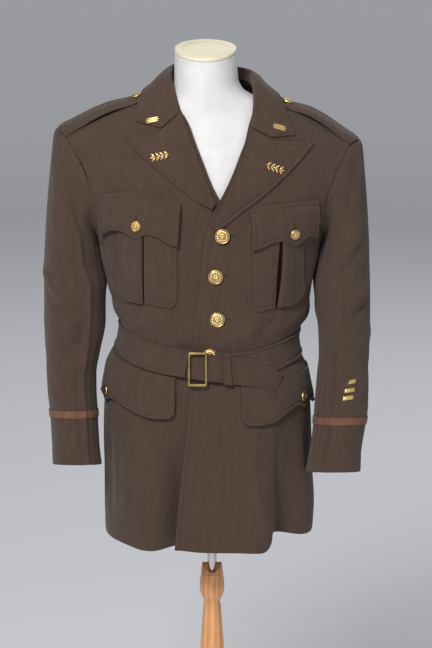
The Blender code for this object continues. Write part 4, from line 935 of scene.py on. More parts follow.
def sleeve(side):
    """Top and under pieces of a two-piece sleeve, with their seams at the front and the elbow."""
    cuff = SLEEVES[side]["level"][0]
    edge = cuff + np.array([0.004, 0.0026, 0.0014, 0.0006, 0.0])
    levels = np.concatenate((np.linspace(1.150, cuff + 0.006, 78), edge))
    strength = bpy.context.scene.coat_cloth.crease
    pieces = (("top", BACK_SEAM_SHARE - 1, FRONT_SEAM_SHARE, 96), ("under", FRONT_SEAM_SHARE, BACK_SEAM_SHARE, 40))
    for piece, start, end, count in pieces:
        share = np.concatenate(([0.0, 0.004, 0.012], np.linspace(0.024, 0.976, count), [0.988, 0.996, 1.0]))
        share = start + SEAM_SHARE + (end - start - 2 * SEAM_SHARE) * share
        grid = sleeve_face(side, share, levels)
        j, i = grid.shape[0] // 2, grid.shape[1] // 2
        core = (sleeve_ring(side, np.array(0.0), grid[j, i, 2]) + sleeve_ring(side, np.array(0.5), grid[j, i, 2])) / 2
        outward = grid[j, i] - core
        normals = normals_of(grid, outward)
        z = grid[..., 2]
        creases, press = sleeve_relief(side, share[None, :] + np.zeros(z.shape), z, float(piece == "top"))
        down = np.linalg.norm(np.diff(grid, axis=0), axis=2)
        down = np.concatenate((np.zeros((1, grid.shape[1])), np.cumsum(down, axis=0)))
        cap = np.exp(-((down / 0.030) ** 2))
        high = (1 + np.cos(2 * pi * share)) / 2
        pucker = cap * step(0.002, 0.012, down) * (high**2)[None, :] * 0.0007 * np.sin(share * 2 * pi * 34)[None, :]
        swell = 0.0070 * np.exp(-(((z - 1.165) / 0.056) ** 4)) * np.exp(-(((share - 0.5) / 0.18) ** 4))[None, :]
        rise = strength * (creases * step(0.0, 0.045, down) + pucker + press) + swell * step(0.0, 0.010, down)
        rise = rise + seam_relief(down) * 1.1
        edge_away = np.minimum(share - start, end - share) * SLEEVE_GIRTH
        rise = rise + seam_relief(edge_away)[None, :] * 0.8
        to_cuff = down[-1][None, :] - down
        rise = rise + hem_relief(to_cuff, 0.0010, 0.0004, 0.032)
        grid = grid + normals * rise[..., None]
        cloth(f"coat_sleeve_{side}_{piece}", grid, outward, [f"sleeve_{side}_{piece}"],
              offset=(1.4, 0.0))


def braid(side):
    """Flat braid round a cuff."""
    low = SLEEVES[side]["level"][0] + BRAID_ABOVE_CUFF
    share = np.arange(240) / 240
    across = np.array([0.0, 0.0004, 0.0010, 0.0022, 0.0040, 0.00635, 0.0087, 0.0105, 0.0117, 0.0123, BRAID_WIDTH])
    rim = np.minimum(across, BRAID_WIDTH - across)
    grid = np.array([sleeve_ring(side, share, np.full(share.shape, low + far)) for far in across])
    centre = (sleeve_ring(side, np.array(0.0), low) + sleeve_ring(side, np.array(0.5), low)) / 2
    outward = grid[5, 119] - centre
    top = ((share < FRONT_SEAM_SHARE) | (share > BACK_SEAM_SHARE)).astype(float)
    place = np.where(share > BACK_SEAM_SHARE, share - 1, share) + np.zeros(grid.shape[:2])
    creases, press = sleeve_relief(side, place, grid[..., 2], top)
    lift = 0.0016 - 0.0006 * np.exp(-(rim / 0.0006)) + 0.0001 * np.cos(across * 2 * pi / 0.0021)
    rise = bpy.context.scene.coat_cloth.crease * (creases + press) + lift[:, None]
    grid = grid + normals_of(grid, outward) * rise[..., None]
    cloth("coat_braid_" + side, grid, outward, ["braid_" + side],
          wall=0.0009, ring=True,
          material=MATERIALS["braid"])


LAPELS = {
    "right": (
        ((0.0040, 1.2680), (0.0005, 1.2780), (-0.0120, 1.3070), (-0.0200, 1.3300), (-0.0360, 1.3700),
         (-0.0455, 1.3950), (-0.0520, 1.4120)),
        ((0.0010, 1.2600), (-0.0200, 1.2700), (-0.0450, 1.2860), (-0.0860, 1.3190), (-0.1200, 1.3460),
         (-0.1470, 1.3720)),
        (-0.0850, 1.3810),
    ),
    "left": (
        ((0.0005, 1.2330), (0.0120, 1.2580), (0.0215, 1.2780), (0.0365, 1.3090), (0.0465, 1.3340),
         (0.0560, 1.3560), (0.0625, 1.3755), (0.0652, 1.3866)),
        ((0.0060, 1.2240), (0.0180, 1.2300), (0.0460, 1.2520), (0.0800, 1.2760), (0.1130, 1.3030),
         (0.1460, 1.3340), (0.1690, 1.3590)),
        (0.0985, 1.3660),
    ),
}
GORGE_BEND = 0.45


def lapel(side):
    """Lapel, rolled over at the roll line, with its gorge seam, notch and topstitched edge."""
    roll, edge, notch = LAPELS[side]
    places = np.concatenate((np.linspace(0.0, 0.93, 46), [0.950, 0.966, 0.974, 0.982, 0.988, 0.993, 0.997, 1.0]))
    starts = curve_through(roll, places)
    ends = curve_through(edge, places)
    metres = np.maximum(np.linalg.norm(ends - starts, axis=1), 0.012)
    away = stations(metres, 40, first=False)
    t = away / metres[:, None]
    spots = starts[:, None] + (ends - starts)[:, None] * t[..., None]
    bend = np.array(notch) - (starts[-1] * (1 - GORGE_BEND) + ends[-1] * GORGE_BEND)
    hump = np.where(t < GORGE_BEND, t / GORGE_BEND, (1 - t) / (1 - GORGE_BEND))
    share = np.maximum(0.0, (places - 0.5) / 0.5) ** 2
    spots = spots + bend * (hump * share[:, None])[..., None]
    toward = SIDES[side]
    from_edge = metres[:, None] - away
    gorge_end = (1 - places)[:, None] * 0.19
    relief = edge_relief(from_edge) + edge_relief(gorge_end) * step(0.40, 0.5, t)
    relief = relief + seam_relief(gorge_end) * 0.7 * step(0.5, 0.40, t)
    full = (step(0.0, 0.2, places) * step(1.05, 0.75, places))[:, None]
    swell = 0.0050 * np.sin(pi * np.clip(t * 1.15, 0, 1)) * full
    lift = 0.0034 + 0.0010 * places[:, None] + relief + swell * step(0.0, 0.25, t)
    lift = lift + 0.0022 * np.exp(-((away / 0.006) ** 2))
    roll_back = np.exp(-((away / 0.0022) ** 2))
    spots[..., 0] += -toward * 0.0009 * roll_back
    under = side == "right"
    grid = on_front(spots[..., 0], spots[..., 1], lift, under)
    lips = []
    for far, deep in ((0.0004, 0.0044), (0.0007, 0.0030), (0.0005, 0.0014)):
        lips.append(on_front(spots[:, 0, 0] - toward * far, spots[:, 0, 1], lift[:, 0] - deep, under))
    grid = np.concatenate((np.stack(lips[::-1], axis=1), grid), axis=1)
    last = grid.shape[1] - 1
    mid = int(grid.shape[1] * 0.55)
    sew(grid[3:], (0, -1, 0), np.s_[:, last - 6])
    sew(grid, (0, -1, 0), np.s_[-5, mid:last - 6])
    return cloth("coat_lapel_" + side, grid, (0, -1, 0), ["lapel_" + side],
                 offset=(2.1, 0.3))


# The collar's stations run from its front end on the right, round the back, to its left end:
# its roll edge in space, its outer edge as seen from above, and how high it lies on the coat
COLLAR = table(
    "station roll_x roll_y roll_z edge_x edge_y lift",
    (0.00, -0.0520, -0.0660, 1.4135, -0.1240, -0.0570, 0.0012),
    (0.14, -0.0630, -0.0420, 1.4440, -0.1215, -0.0360, 0.0030),
    (0.26, -0.0705, -0.0100, 1.4680, -0.1125, -0.0020, 0.0056),
    (0.36, -0.0660, 0.0330, 1.4765, -0.0930, 0.0400, 0.0050),
    (0.44, -0.0360, 0.0610, 1.4780, -0.0500, 0.0740, 0.0030),
    (0.50, 0.0000, 0.0690, 1.4750, 0.0000, 0.0830, 0.0030),
    (0.56, 0.0360, 0.0610, 1.4710, 0.0500, 0.0740, 0.0030),
    (0.64, 0.0670, 0.0330, 1.4660, 0.0930, 0.0400, 0.0050),
    (0.74, 0.0715, -0.0100, 1.4540, 0.1100, -0.0040, 0.0056),
    (0.86, 0.0700, -0.0480, 1.4220, 0.1235, -0.0390, 0.0030),
    (1.00, 0.0655, -0.0800, 1.3895, 0.1390, -0.0625, 0.0012),
)
NOTCHES = ((-0.0830, 1.3872), (0.0975, 1.3716))
STAND = table(
    "station x y top bottom",
    (0.00, -0.0655, -0.0200, 1.4570, 1.4500),
    (0.16, -0.0655, -0.0050, 1.4640, 1.4520),
    (0.30, -0.0625, 0.0290, 1.4710, 1.4540),
    (0.42, -0.0350, 0.0555, 1.4730, 1.4555),
    (0.50, 0.0000, 0.0625, 1.4700, 1.4550),
    (0.58, 0.0350, 0.0555, 1.4660, 1.4520),
    (0.70, 0.0630, 0.0290, 1.4610, 1.4480),
    (0.84, 0.0680, -0.0050, 1.4510, 1.4400),
    (1.00, 0.0685, -0.0220, 1.4430, 1.4360),
)


def collar():
    """Collar, from the foot of its stand over the roll to the topstitched edge of its fall."""
    station = np.concatenate(([0.0, 0.0012, 0.003, 0.0055, 0.0085, 0.0115, 0.0135, 0.0155, 0.0185],
                              np.linspace(0.024, 0.976, 120),
                              1 - np.array([0.0185, 0.0155, 0.0135, 0.0115, 0.0085, 0.0055, 0.003, 0.0012, 0.0])))
    roll = stack(*[read(COLLAR, "roll_" + axis, station) for axis in "xyz"])
    low = read(COLLAR, "lift", station)
    edge = on_shoulder(read(COLLAR, "edge_x", station), read(COLLAR, "edge_y", station), low)
    near = np.maximum(0.0, 1 - np.minimum(station, 1 - station) / 0.14) ** 2
    first = on_front(np.array(NOTCHES[0][0]), np.array(NOTCHES[0][1]), np.array(0.0012))
    last = on_front(np.array(NOTCHES[1][0]), np.array(NOTCHES[1][1]), np.array(0.0012))
    notch = np.where((station < 0.5)[:, None], first, last)
    bend = notch - (roll * 0.52 + edge * 0.48)
    metres = np.linalg.norm(edge - roll, axis=1)
    away = stations(metres, 26, first=False)
    t = away / metres[:, None]
    hump = np.where(t < 0.48, t / 0.48, (1 - t) / 0.52)
    spots = roll[:, None] + (edge - roll)[:, None] * t[..., None] + bend[:, None] * (hump * near[:, None])[..., None]
    floor = on_shoulder(spots[..., 0], spots[..., 1], low[:, None] + 0 * t)
    arch = spots[..., 2] + 0.004 * np.sin(pi * t) * (1 - near)[:, None]
    spots[..., 2] = np.maximum(arch, floor[..., 2])
    end_away = np.minimum(station, 1 - station) * 0.52
    normals = normals_of(spots, np.array((0.0, 0.6, 1.0)))
    relief = edge_relief(metres[:, None] - away) + (edge_relief(end_away)[:, None] * step(0.48, 0.56, t))
    relief = relief + seam_relief(end_away)[:, None] * 0.7 * step(0.56, 0.48, t)
    swell = 0.0012 * np.sin(t * 7 + station[:, None] * 19) * step(0, 0.06, np.minimum(station, 1 - station))[:, None]
    thick = 0.0024 + relief + swell * np.sin(pi * np.clip(t, 0, 1))
    fall = spots + normals * thick[..., None]
    # The roll turns over towards the neck and the stand goes down inside
    inward = unit((np.array((0.002, 0.0, 0.0)) - roll) * np.array((1.0, 1.0, 0.0)))
    top = roll + normals[:, 0] * 0.0024
    stand_angle = np.arctan2(STAND["x"], STAND["y"])
    roll_angle = np.arctan2(roll[:, 0], roll[:, 1])
    stand_station = np.interp(roll_angle, stand_angle, STAND["station"])
    foot = stack(read(STAND, "x", stand_station), read(STAND, "y", stand_station), read(STAND, "bottom", stand_station))
    beyond = step(0.0, 0.25, np.abs(roll_angle) - stand_angle[-1])
    front_foot = roll + inward * 0.0016 - np.array((0, 0, 0.010))
    foot = foot * (1 - beyond)[:, None] + front_foot * beyond[:, None]
    inner_top = top + inward * 0.0036 - np.array((0, 0, 0.0030))
    rows = [foot * (1 - s) + inner_top * s for s in np.linspace(0, 1, 9)]
    rows += [top + inward * 0.0030 - np.array((0, 0, 0.0016)), top + inward * 0.0020 - np.array((0, 0, 0.0007)),
             top + inward * 0.0008 - np.array((0, 0, 0.0001))]
    inside = np.stack(rows, axis=1)
    grid = np.concatenate((inside, fall[:, 1:]), axis=1)
    count = grid.shape[1] - 1
    half = int(grid.shape[1] * 0.62)
    sew(grid[6:-6], (0, 0.6, 1.0), np.s_[:, count - 6])
    sew(grid, (0, 0.6, 1.0), np.s_[6, half:count - 6], np.s_[-7, half:count - 6])
    return cloth("coat_collar", grid, (0, 0.6, 1.0), ["collar_fall", "collar_stand"],
                 offset=(2.6, 0.0))


STRAPS = table(
    "share front back",
    (0.0, -0.0330, 0.0150),
    (1.0, -0.0270, 0.0110),
)
STRAP_NECK = {"left": 0.1030, "right": -0.1030}
STRAP_BUTTON_X = {"left": 0.1255, "right": -0.1255}
STRAP_RISE = 0.0055


def armhole_x(side, y):
    """Where the armhole lies, near the shoulder tip, at distances ahead of or behind it."""
    low = np.full(y.shape, 1.36)
    high = np.full(y.shape, TOP_LEVEL)
    for _ in range(40):
        level = (low + high) / 2
        ahead = body(turn_at(read(ARMHOLES, side + "_front", level), level), level)
        behind = body(turn_at(read(ARMHOLES, side + "_back", level), level, True), level)
        point = np.where((y > 0)[..., None], behind, ahead)
        far = np.abs(point[..., 1]) > np.abs(y)
        low = np.where(far, level, low)
        high = np.where(far, high, level)
    return point[..., 0]


def strap(side):
    """Shoulder strap, from the sleeve head seam to under the collar."""
    t = np.concatenate((np.linspace(0, 0.90, 44), np.linspace(0.915, 1.0, 12)))
    low = read(STRAPS, "front", t)
    high = read(STRAPS, "back", t)
    middle = (low + high) / 2
    point = step(0.90, 1.0, t) * 0.45
    start = low + (middle - low) * point
    end = high + (middle - high) * point
    away = stations(end - start, 14)
    y = start[:, None] + away
    tip = armhole_x(side, y) - SIDES[side] * 0.0008
    x = tip + (STRAP_NECK[side] - tip) * t[:, None]
    rise = -0.0012 + 0.0022 * step(0.0, 0.07, t) + STRAP_RISE * step(0.05, 0.45, t) * (1 - step(0.55, 0.80, t))
    from_edge = np.minimum(away, (end - start)[:, None] - away)
    wave = 0.0006 * np.sin(t * 9.0 + 1.0)[:, None] * np.sin(pi * away / (end - start)[:, None])
    grid = on_shoulder(x, y, rise[:, None] + 0.0023 + edge_relief(from_edge) + wave)
    sew(grid, (0, 0, 1), np.s_[:, 6], np.s_[:, -7])
    return cloth("coat_strap_" + side, grid, (0, 0, 1), ["strap_" + side],
                 offset=(3.3, 0.2))


BREAST = {
    "right": {"inner": (-0.056, 1.250, 1.090), "outer": (-0.155, 1.268, 1.101), "pleat": (-0.112, -0.143),
              "gape": 0.0004, "lean": 0.0},
    "left": {"inner": (0.060, 1.245, 1.083), "outer": (0.153, 1.252, 1.095), "pleat": (0.1105, 0.136),
             "gape": 0.0022, "lean": 0.010},
}
POCKET_CORNER = 0.018
POCKET_LIFT = 0.0034
PLEAT_RISE = 0.0026


def paint_fold_shade(piece, columns, count):
    """Give the faces deep inside a fold the near-black material of painted shade, for the shadow inside the fold; a
    column of the grid has count faces.
    """
    piece.data.materials.append(MATERIALS["painted_shade"])
    for column in columns:
        for face in piece.data.polygons[column * count:(column + 1) * count]:
            face.material_index = 1


def breast_pocket(side):
    """Patch pocket with a box pleat down its middle and a topstitched outline."""
    size = BREAST[side]
    inner, outer = np.array(size["inner"]), np.array(size["outer"])
    toward = SIDES[side]
    wide = abs(outer[0] - inner[0])
    first, second = size["pleat"]
    pleat = (abs(first - inner[0]), abs(second - inner[0]))
    away = stations(np.array(wide), 46)
    fine = np.array([-0.0022, -0.0012, -0.0005, -0.0001, 0.0003, 0.0009, 0.0018, 0.003])
    away = np.unique(np.round(np.concatenate((away, pleat[0] + fine, pleat[1] - fine)), 7))
    share = away / wide
    x = inner[0] + (outer[0] - inner[0]) * share
    top = inner[1] + (outer[1] - inner[1]) * share - 0.006
    base = inner[2] + (outer[2] - inner[2]) * share
    from_side = np.minimum(away, wide - away)
    inside = np.clip((POCKET_CORNER - from_side) / POCKET_CORNER, 0.0, 1.0)
    bottom = base + POCKET_CORNER * (1 - np.sqrt(1 - inside**2))
    metres = top - bottom
    down = stations(metres, 52, first=False)
    z = top[:, None] - down
    corner_away = POCKET_CORNER - np.hypot(np.maximum(0, POCKET_CORNER - from_side)[:, None],
                                           np.maximum(0, base[:, None] + POCKET_CORNER - z))
    at_corner = (from_side[:, None] < POCKET_CORNER) & (z < base[:, None] + POCKET_CORNER)
    from_edge = np.where(at_corner, corner_away, np.minimum(from_side[:, None], z - base[:, None]))
    within = np.minimum(away - pleat[0], pleat[1] - away)
    open_edge = (away - pleat[0])[:, None]
    fold = step(-0.0006, 0.0006, open_edge) * step(-0.0010, 0.0075, within)[:, None]
    groove = -0.0010 * np.exp(-((open_edge / 0.0016) ** 2))
    drop_share = np.clip(down / metres[:, None], 0, 1)
    gape = size["gape"] * (0.25 + np.sin(pi * drop_share**1.3))
    lip = (0.0012 + gape * 0.9) * np.exp(-(((open_edge - 0.002) / 0.010) ** 2))
    apart = gape * np.tanh(open_edge / 0.0004) * np.exp(-((open_edge / 0.012) ** 2))
    lean = size["lean"] * (0.5 - drop_share) * np.exp(-((open_edge / 0.016) ** 2))
    sag = 0.0022 * np.sin(pi * share)[:, None] * np.sin(pi * drop_share)
    edge = edge_relief(np.maximum(from_edge, 0.0)) - 0.0012 * np.exp(-np.maximum(from_edge, 0) / 0.002)
    lift = POCKET_LIFT + (PLEAT_RISE + lip) * fold + groove * (1 - fold * 0.4) + sag + edge
    grid = on_front(x[:, None] + toward * (apart + lean), z, lift, side == "right")
    near = np.argmin(np.abs(away - STITCH_LINE))
    far = np.argmin(np.abs(away - (wide - STITCH_LINE)))
    last = grid.shape[1] - 1
    turn_row = last - 6
    sew(grid, (0, -1, 0), np.s_[near, 2:turn_row], np.s_[near:far + 1, turn_row], np.s_[far, 2:turn_row])
    pocket = cloth("coat_breast_pocket_" + side, grid, (0, -1, 0), ["breast_pocket_" + side],
                   offset=(4.0, 0.1))
    # The steep inner side of the pleat gets painted shade
    deep = [i for i in range(len(away) - 1) if -0.0006 < (away[i] + away[i + 1]) / 2 - pleat[0] < 0.0006]
    paint_fold_shade(pocket, deep, last)


FLAPS = {
    "right": (
        ((-0.050, 1.271), (-0.085, 1.279), (-0.120, 1.286), (-0.155, 1.284), (-0.184, 1.280)),
        ((-0.055, 1.199), (-0.070, 1.203), (-0.088, 1.213), (-0.103, 1.217), (-0.115, 1.214), (-0.124, 1.209),
         (-0.134, 1.215), (-0.148, 1.222), (-0.160, 1.221), (-0.172, 1.215), (-0.180, 1.211)),
    ),
    "left": (
        ((0.065, 1.258), (0.095, 1.265), (0.130, 1.269), (0.155, 1.270), (0.176, 1.269)),
        ((0.064, 1.191), (0.080, 1.195), (0.096, 1.202), (0.110, 1.205), (0.125, 1.202), (0.136, 1.197),
         (0.146, 1.205), (0.155, 1.211), (0.160, 1.210), (0.165, 1.207), (0.169, 1.204)),
    ),
}
FLAP_LIFT = 0.0100


def even_curve(points, share):
    """Points of a smooth line whose given points are spread evenly over its shares."""
    rows = table("share x z", *[(s, *point) for s, point in zip(np.linspace(0, 1, len(points)), points)])
    return stack(read(rows, "x", share), read(rows, "z", share))


def breast_flap(side):
    """Scalloped flap with a centre point, over the breast pocket."""
    top, bottom = FLAPS[side]
    across = stations(np.array(abs(top[-1][0] - top[0][0])), 66)
    wide = across[-1]
    share = across / wide
    upper = even_curve(top, share)
    lower = even_curve(bottom, share)
    metres = np.linalg.norm(upper - lower, axis=1)
    down = stations(metres, 34)
    t = down / metres[:, None]
    spots = upper[:, None] + (lower - upper)[:, None] * t[..., None]
    from_side = np.minimum(across, wide - across)[:, None]
    from_bottom = metres[:, None] - down
    from_edge = np.minimum(from_side, from_bottom)
    seam = 0.0011 * np.exp(-(((down - 0.0035) / 0.0026) ** 2))
    seam = seam - 0.0012 * np.exp(-(((down - STITCH_LINE - 0.001) / 0.0012) ** 2))
    lift = 0.0030 + (FLAP_LIFT - 0.0030) * step(0.0, 0.24, t) + edge_relief(from_edge) + seam
    lift = lift + 0.0010 * np.sin(share * 11 + 1.3)[:, None] * step(0.3, 1.0, t)
    lift = lift - 0.0012 * np.exp(-(down / 0.0014))
    grid = on_front(spots[..., 0], spots[..., 1], lift, side == "right")
    turn = grid.shape[1] - 7
    sew(grid, (0, -1, 0), np.s_[6, 6:turn], np.s_[-7, 6:turn], np.s_[6:-6, turn], np.s_[4:-4, 7])
    return cloth("coat_breast_flap_" + side, grid, (0, -1, 0), ["breast_flap_" + side],
                 offset=(4.6, 0.1))


# Hip flaps in turns round the body: turn, height of the top edge, height of the bottom edge
HIP_FLAPS = {
    "right": table(
        "turn top bottom",
        (104.0, 0.9755, 0.917),
        (107.0, 0.9765, 0.907),
        (116.0, 0.9800, 0.906),
        (128.0, 0.9840, 0.912),
        (141.0, 0.9890, 0.921),
        (150.0, 0.9925, 0.926),
        (156.0, 0.9945, 0.925),
        (162.0, 0.9960, 0.919),
        (168.0, 0.9980, 0.925),
        (176.0, 0.9990, 0.926),
        (186.0, 1.0000, 0.918),
        (198.0, 1.0000, 0.910),
        (206.0, 0.9995, 0.912),
    ),
    "left": table(
        "turn top bottom",
        (-20.0, 0.968, 0.899),
        (-13.0, 0.968, 0.896),
        (0.0, 0.969, 0.906),
        (11.0, 0.970, 0.916),
        (18.0, 0.970, 0.917),
        (27.0, 0.970, 0.911),
        (34.0, 0.970, 0.918),
        (43.0, 0.969, 0.912),
        (54.0, 0.968, 0.900),
        (64.0, 0.967, 0.894),
        (71.0, 0.966, 0.895),
        (74.5, 0.966, 0.903),
    ),
}
HIP_LIFT = 0.0034


def hip_flap(side):
    """Flap of a lower pocket, wrapped round the hip."""
    rows_of = HIP_FLAPS[side]
    first, last = rows_of["turn"][0], rows_of["turn"][-1]
    wide = abs(float(girth(last) - girth(first)))
    across = stations(np.array(wide), 76)
    turn = first + (last - first) * across / wide
    top = read(rows_of, "top", turn)
    bottom = read(rows_of, "bottom", turn)
    metres = top - bottom
    down = stations(metres, 24, first=False)
    t = down / metres[:, None]
    from_edge = np.minimum(np.minimum(across, wide - across)[:, None], metres[:, None] - down)
    curl = 0.0016 * np.sin(across / wide * 9 + 0.5)[:, None] * step(0.35, 1.0, t)
    lift = 0.0029 + HIP_LIFT * step(0.05, 0.8, t) + edge_relief(from_edge) + curl
    grid = face(turn[:, None] + 0 * t, top[:, None] - down, lift, under=side == "right")
    outward = outward_of(grid)
    end = grid.shape[1] - 7
    sew(grid, outward, np.s_[6, 2:end], np.s_[-7, 2:end], np.s_[6:-6, end])
    return cloth("coat_hip_flap_" + side, grid, outward, ["hip_flap_" + side],
                 offset=(5.2, 0.1))


BELT_LOW_END = 87.0
BELT_HIGH_END = -261.3
BELT_LIFT = 0.0043
TONGUE_LIFT = 0.0034
BUMP_LIFT = 0.0062
BUMP_TURN = 90.0
BUMP_WIDTH = 9.5
KEEPER_TURNS = (83.2, 79.0)


def bump(turn):
    """How far the belt rides over the lowest front button."""
    return BUMP_LIFT * np.exp(-(((turn - BUMP_TURN) / BUMP_WIDTH) ** 2))


def band(name, turn, heights, lift, replaces, narrow=None, width=BELT_WIDTH, wall=0.0019):
    """Stretch of belt with topstitched edges: turns round the body, its middle line, and its lift."""
    across = stations(np.array(width), 12)
    half = width / 2 * (narrow(turn) if narrow is not None else np.ones(turn.shape))
    t = across / width * 2 - 1
    level = read(heights, "middle", turn)[:, None] + half[:, None] * t
    from_edge = np.minimum(across, width - across)[None, :] * (half / (width / 2))[:, None]
    wave = 0.0005 * np.sin(np.radians(turn * 9))[:, None] * (1 - t**2)
    relief = edge_relief(from_edge)
    base = body(turn[:, None] + 0 * level, level)
    grid = base + facing(turn[:, None] + 0 * level, level) * (lift(turn)[:, None] + relief + wave)[..., None]
    outward = outward_of(grid)
    sew(grid, outward, np.s_[:, 6], np.s_[:, -7])
    cloth(name, grid, outward, replaces, wall=wall, offset=(6.0, 0.0))


def belt():
    """Belt round the waist, its tongue through the buckle, and the loop that holds the tongue."""
    near = np.linspace(BELT_LOW_END, 56, 26)
    far = np.linspace(54, -240, 150)
    last = np.linspace(-242, BELT_HIGH_END, 24)

    def belt_lift(turn):
        return BELT_LIFT + bump(turn) + (TONGUE_LIFT + bump(turn + 360)) * step(-246, -259, turn)

    band("coat_belt", np.concatenate((near, far, last)), BELT, belt_lift, ["belt"])

    def tongue_lift(turn):
        return BELT_LIFT + bump(turn) + TONGUE_LIFT

    def tongue_point(turn):
        return 1.0 - 0.90 * np.clip((TONGUE["turn"][0] + 6.2 - turn) / 6.2, 0.0, 1.0) ** 1.15

    turns = np.concatenate((np.linspace(98.2, 52, 70), np.linspace(51.6, 46.5, 18)))
    band("coat_belt_tongue", turns, TONGUE, tongue_lift, ["belt_tongue"], tongue_point)

    def keeper_lift(turn):
        return tongue_lift(turn) + 0.0028

    band("coat_belt_keeper", np.linspace(*KEEPER_TURNS, 14), TONGUE, keeper_lift, ["belt_keeper"],
         width=BELT_WIDTH + 0.005, wall=0.0014)


BUTTON_RADIUS = 0.0125
SMALL_BUTTON_RADIUS = 0.0086
# Front buttons: name, x, height, shank
FRONT_BUTTONS = (
    ("front_button_1", 0.0170, 1.2165, 0.0034),
    ("front_button_2", 0.0060, 1.1480, 0.0012),
    ("front_button_3", 0.0090, 1.0740, 0.0012),
    ("front_button_4", -0.0030, 1.0120, 0.0012),
)
BREAST_BUTTONS = {"left": (0.1370, 1.2160), "right": (-0.1250, 1.2320)}
HIP_BUTTONS = {"left": (27.0, 0.931), "right": (162.0, 0.937)}
AHEAD = Vector((0, 1, 0))


def button_dome(share):
    """Height of a button's plain dome, in button radii."""
    return 0.12 + 0.27 * np.sqrt(np.maximum(0.0, 1 - (0.94 * share) ** 2))


def button_relief(share, angle):
    """Height of a button's face: dome, rope rim, wreath of leaves and a rosette, in button radii."""
    high = button_dome(share)
    high = high + 0.055 * np.exp(-(((share - 0.93) / 0.035) ** 2)) * (1 + 0.35 * np.cos(angle * 36))
    high = high - 0.030 * np.exp(-(((share - 0.85) / 0.025) ** 2))
    leaves = 14
    turn = np.mod(angle * leaves / (2 * pi) + 0.9 * share, 1.0) - 0.5
    leaf = np.exp(-((turn / 0.27) ** 2)) * np.exp(-(((share - 0.66) / 0.105) ** 4))
    high = high + 0.085 * leaf - 0.034 * np.exp(-((turn / 0.05) ** 2)) * leaf
    high = high + 0.022 * np.exp(-(((share - 0.47) / 0.025) ** 2))
    petals = 0.5 + 0.5 * np.cos(angle * 6)
    high = high + 0.095 * np.exp(-(((share - 0.24) / 0.11) ** 2)) * petals**0.7
    return high + 0.060 * np.exp(-((share / 0.085) ** 2))


def button(name, radius, shank, below, start, direction):
    """Domed gilt button with a raised wreath, on its shank, seated on the first face that is met."""
    point, normal = touch(below, start, direction)
    shares = np.concatenate((np.linspace(0.02, 0.88, 26), [0.91, 0.94, 0.97, 0.99, 1.0]))
    angles = np.linspace(0, 2 * pi, 72, endpoint=False)
    share, angle = np.meshgrid(shares, angles, indexing="ij")
    high = button_relief(share, angle)
    high = np.where(share > 0.995, 0.10, high)
    rings = [stack(share * np.cos(angle), share * np.sin(angle), high)]
    low = ((0.995, 0.05), (0.95, 0.01), (0.80, 0.0), (0.30, -0.01))
    for far, z in low:
        rings.append(stack(far * np.cos(angles), far * np.sin(angles), z)[None])
    shank_radius = 0.0028 / radius
    for z in (-0.02, -shank / radius):
        rings.append(stack(shank_radius * np.cos(angles), shank_radius * np.sin(angles), z)[None])
    grid = np.concatenate(rings, axis=0) * radius
    spun = np.array(normal.to_track_quat("Z", "Y").to_matrix())
    points = grid.reshape(-1, 3) @ spun.T + np.array(point + normal * (shank + 0.0002))
    piece = make("coat_" + name, points, capped_faces(*grid.shape[:2]), MATERIALS["gilt"])
    # How far each point of the face lies below the smooth dome, kept as an attribute that darkens the colour there
    smooth_face = button_dome(share) + 0.075
    hollow = np.zeros(len(points))
    hollow[:share.size] = (np.clip((smooth_face - high) / 0.075, 0.0, 1.0) * (share < 0.96)).ravel() ** 1.4 * 0.75
    layer = piece.data.attributes.new("hollow", "FLOAT", "POINT")
    layer.data.foreach_set("value", hollow.astype(np.float32))
    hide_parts(name)


def buttonhole(below, centre, way, direction, length):
    """Worked buttonhole: thread wrapped all round a slit, in which a near-black strip of painted shade stands for the
    shadow in the opening.
    """
    direction = Vector(direction).normalized()
    way = Vector(way).normalized()
    across = direction.cross(way).normalized()
    trees = tree_of(below)

    def lay(spots):
        places, ways = [], []
        for a, b in spots:
            start = Vector(centre) + way * a + across * b - direction * 0.1
            hits = [tree.ray_cast(start, direction) for tree in trees]
            hits = [hit for hit in hits if hit[0] is not None]
            if not hits:
                continue
            point, normal, _, _ = min(hits, key=lambda hit: hit[3])
            if normal.dot(direction) > 0:
                normal.negate()
            places.append(np.array(point))
            ways.append(np.array(normal))
        return np.array(places), np.array(ways)

    half, wide = length / 2, 0.0011
    loop = [(half * s, wide) for s in np.linspace(-1, 1, 18)]
    loop += [(half + wide * sin(a), wide * cos(a)) for a in np.linspace(0.4, pi - 0.4, 5)]
    loop += [(half * s, -wide) for s in np.linspace(1, -1, 18)]
    loop += [(-half - wide * sin(a), -wide * cos(a)) for a in np.linspace(0.4, pi - 0.4, 5)]
    loop.append(loop[0])
    HOLES.append(lay(loop))
    # A near-black strip of painted shade in the slit, where the opening lies in shadow
    painted_shade, ways = lay([(half * s, b) for s in np.linspace(-0.95, 0.95, 14) for b in (-0.0004, 0.0004)])
    SLIT_SHADES.append(painted_shade + ways * 0.00012)


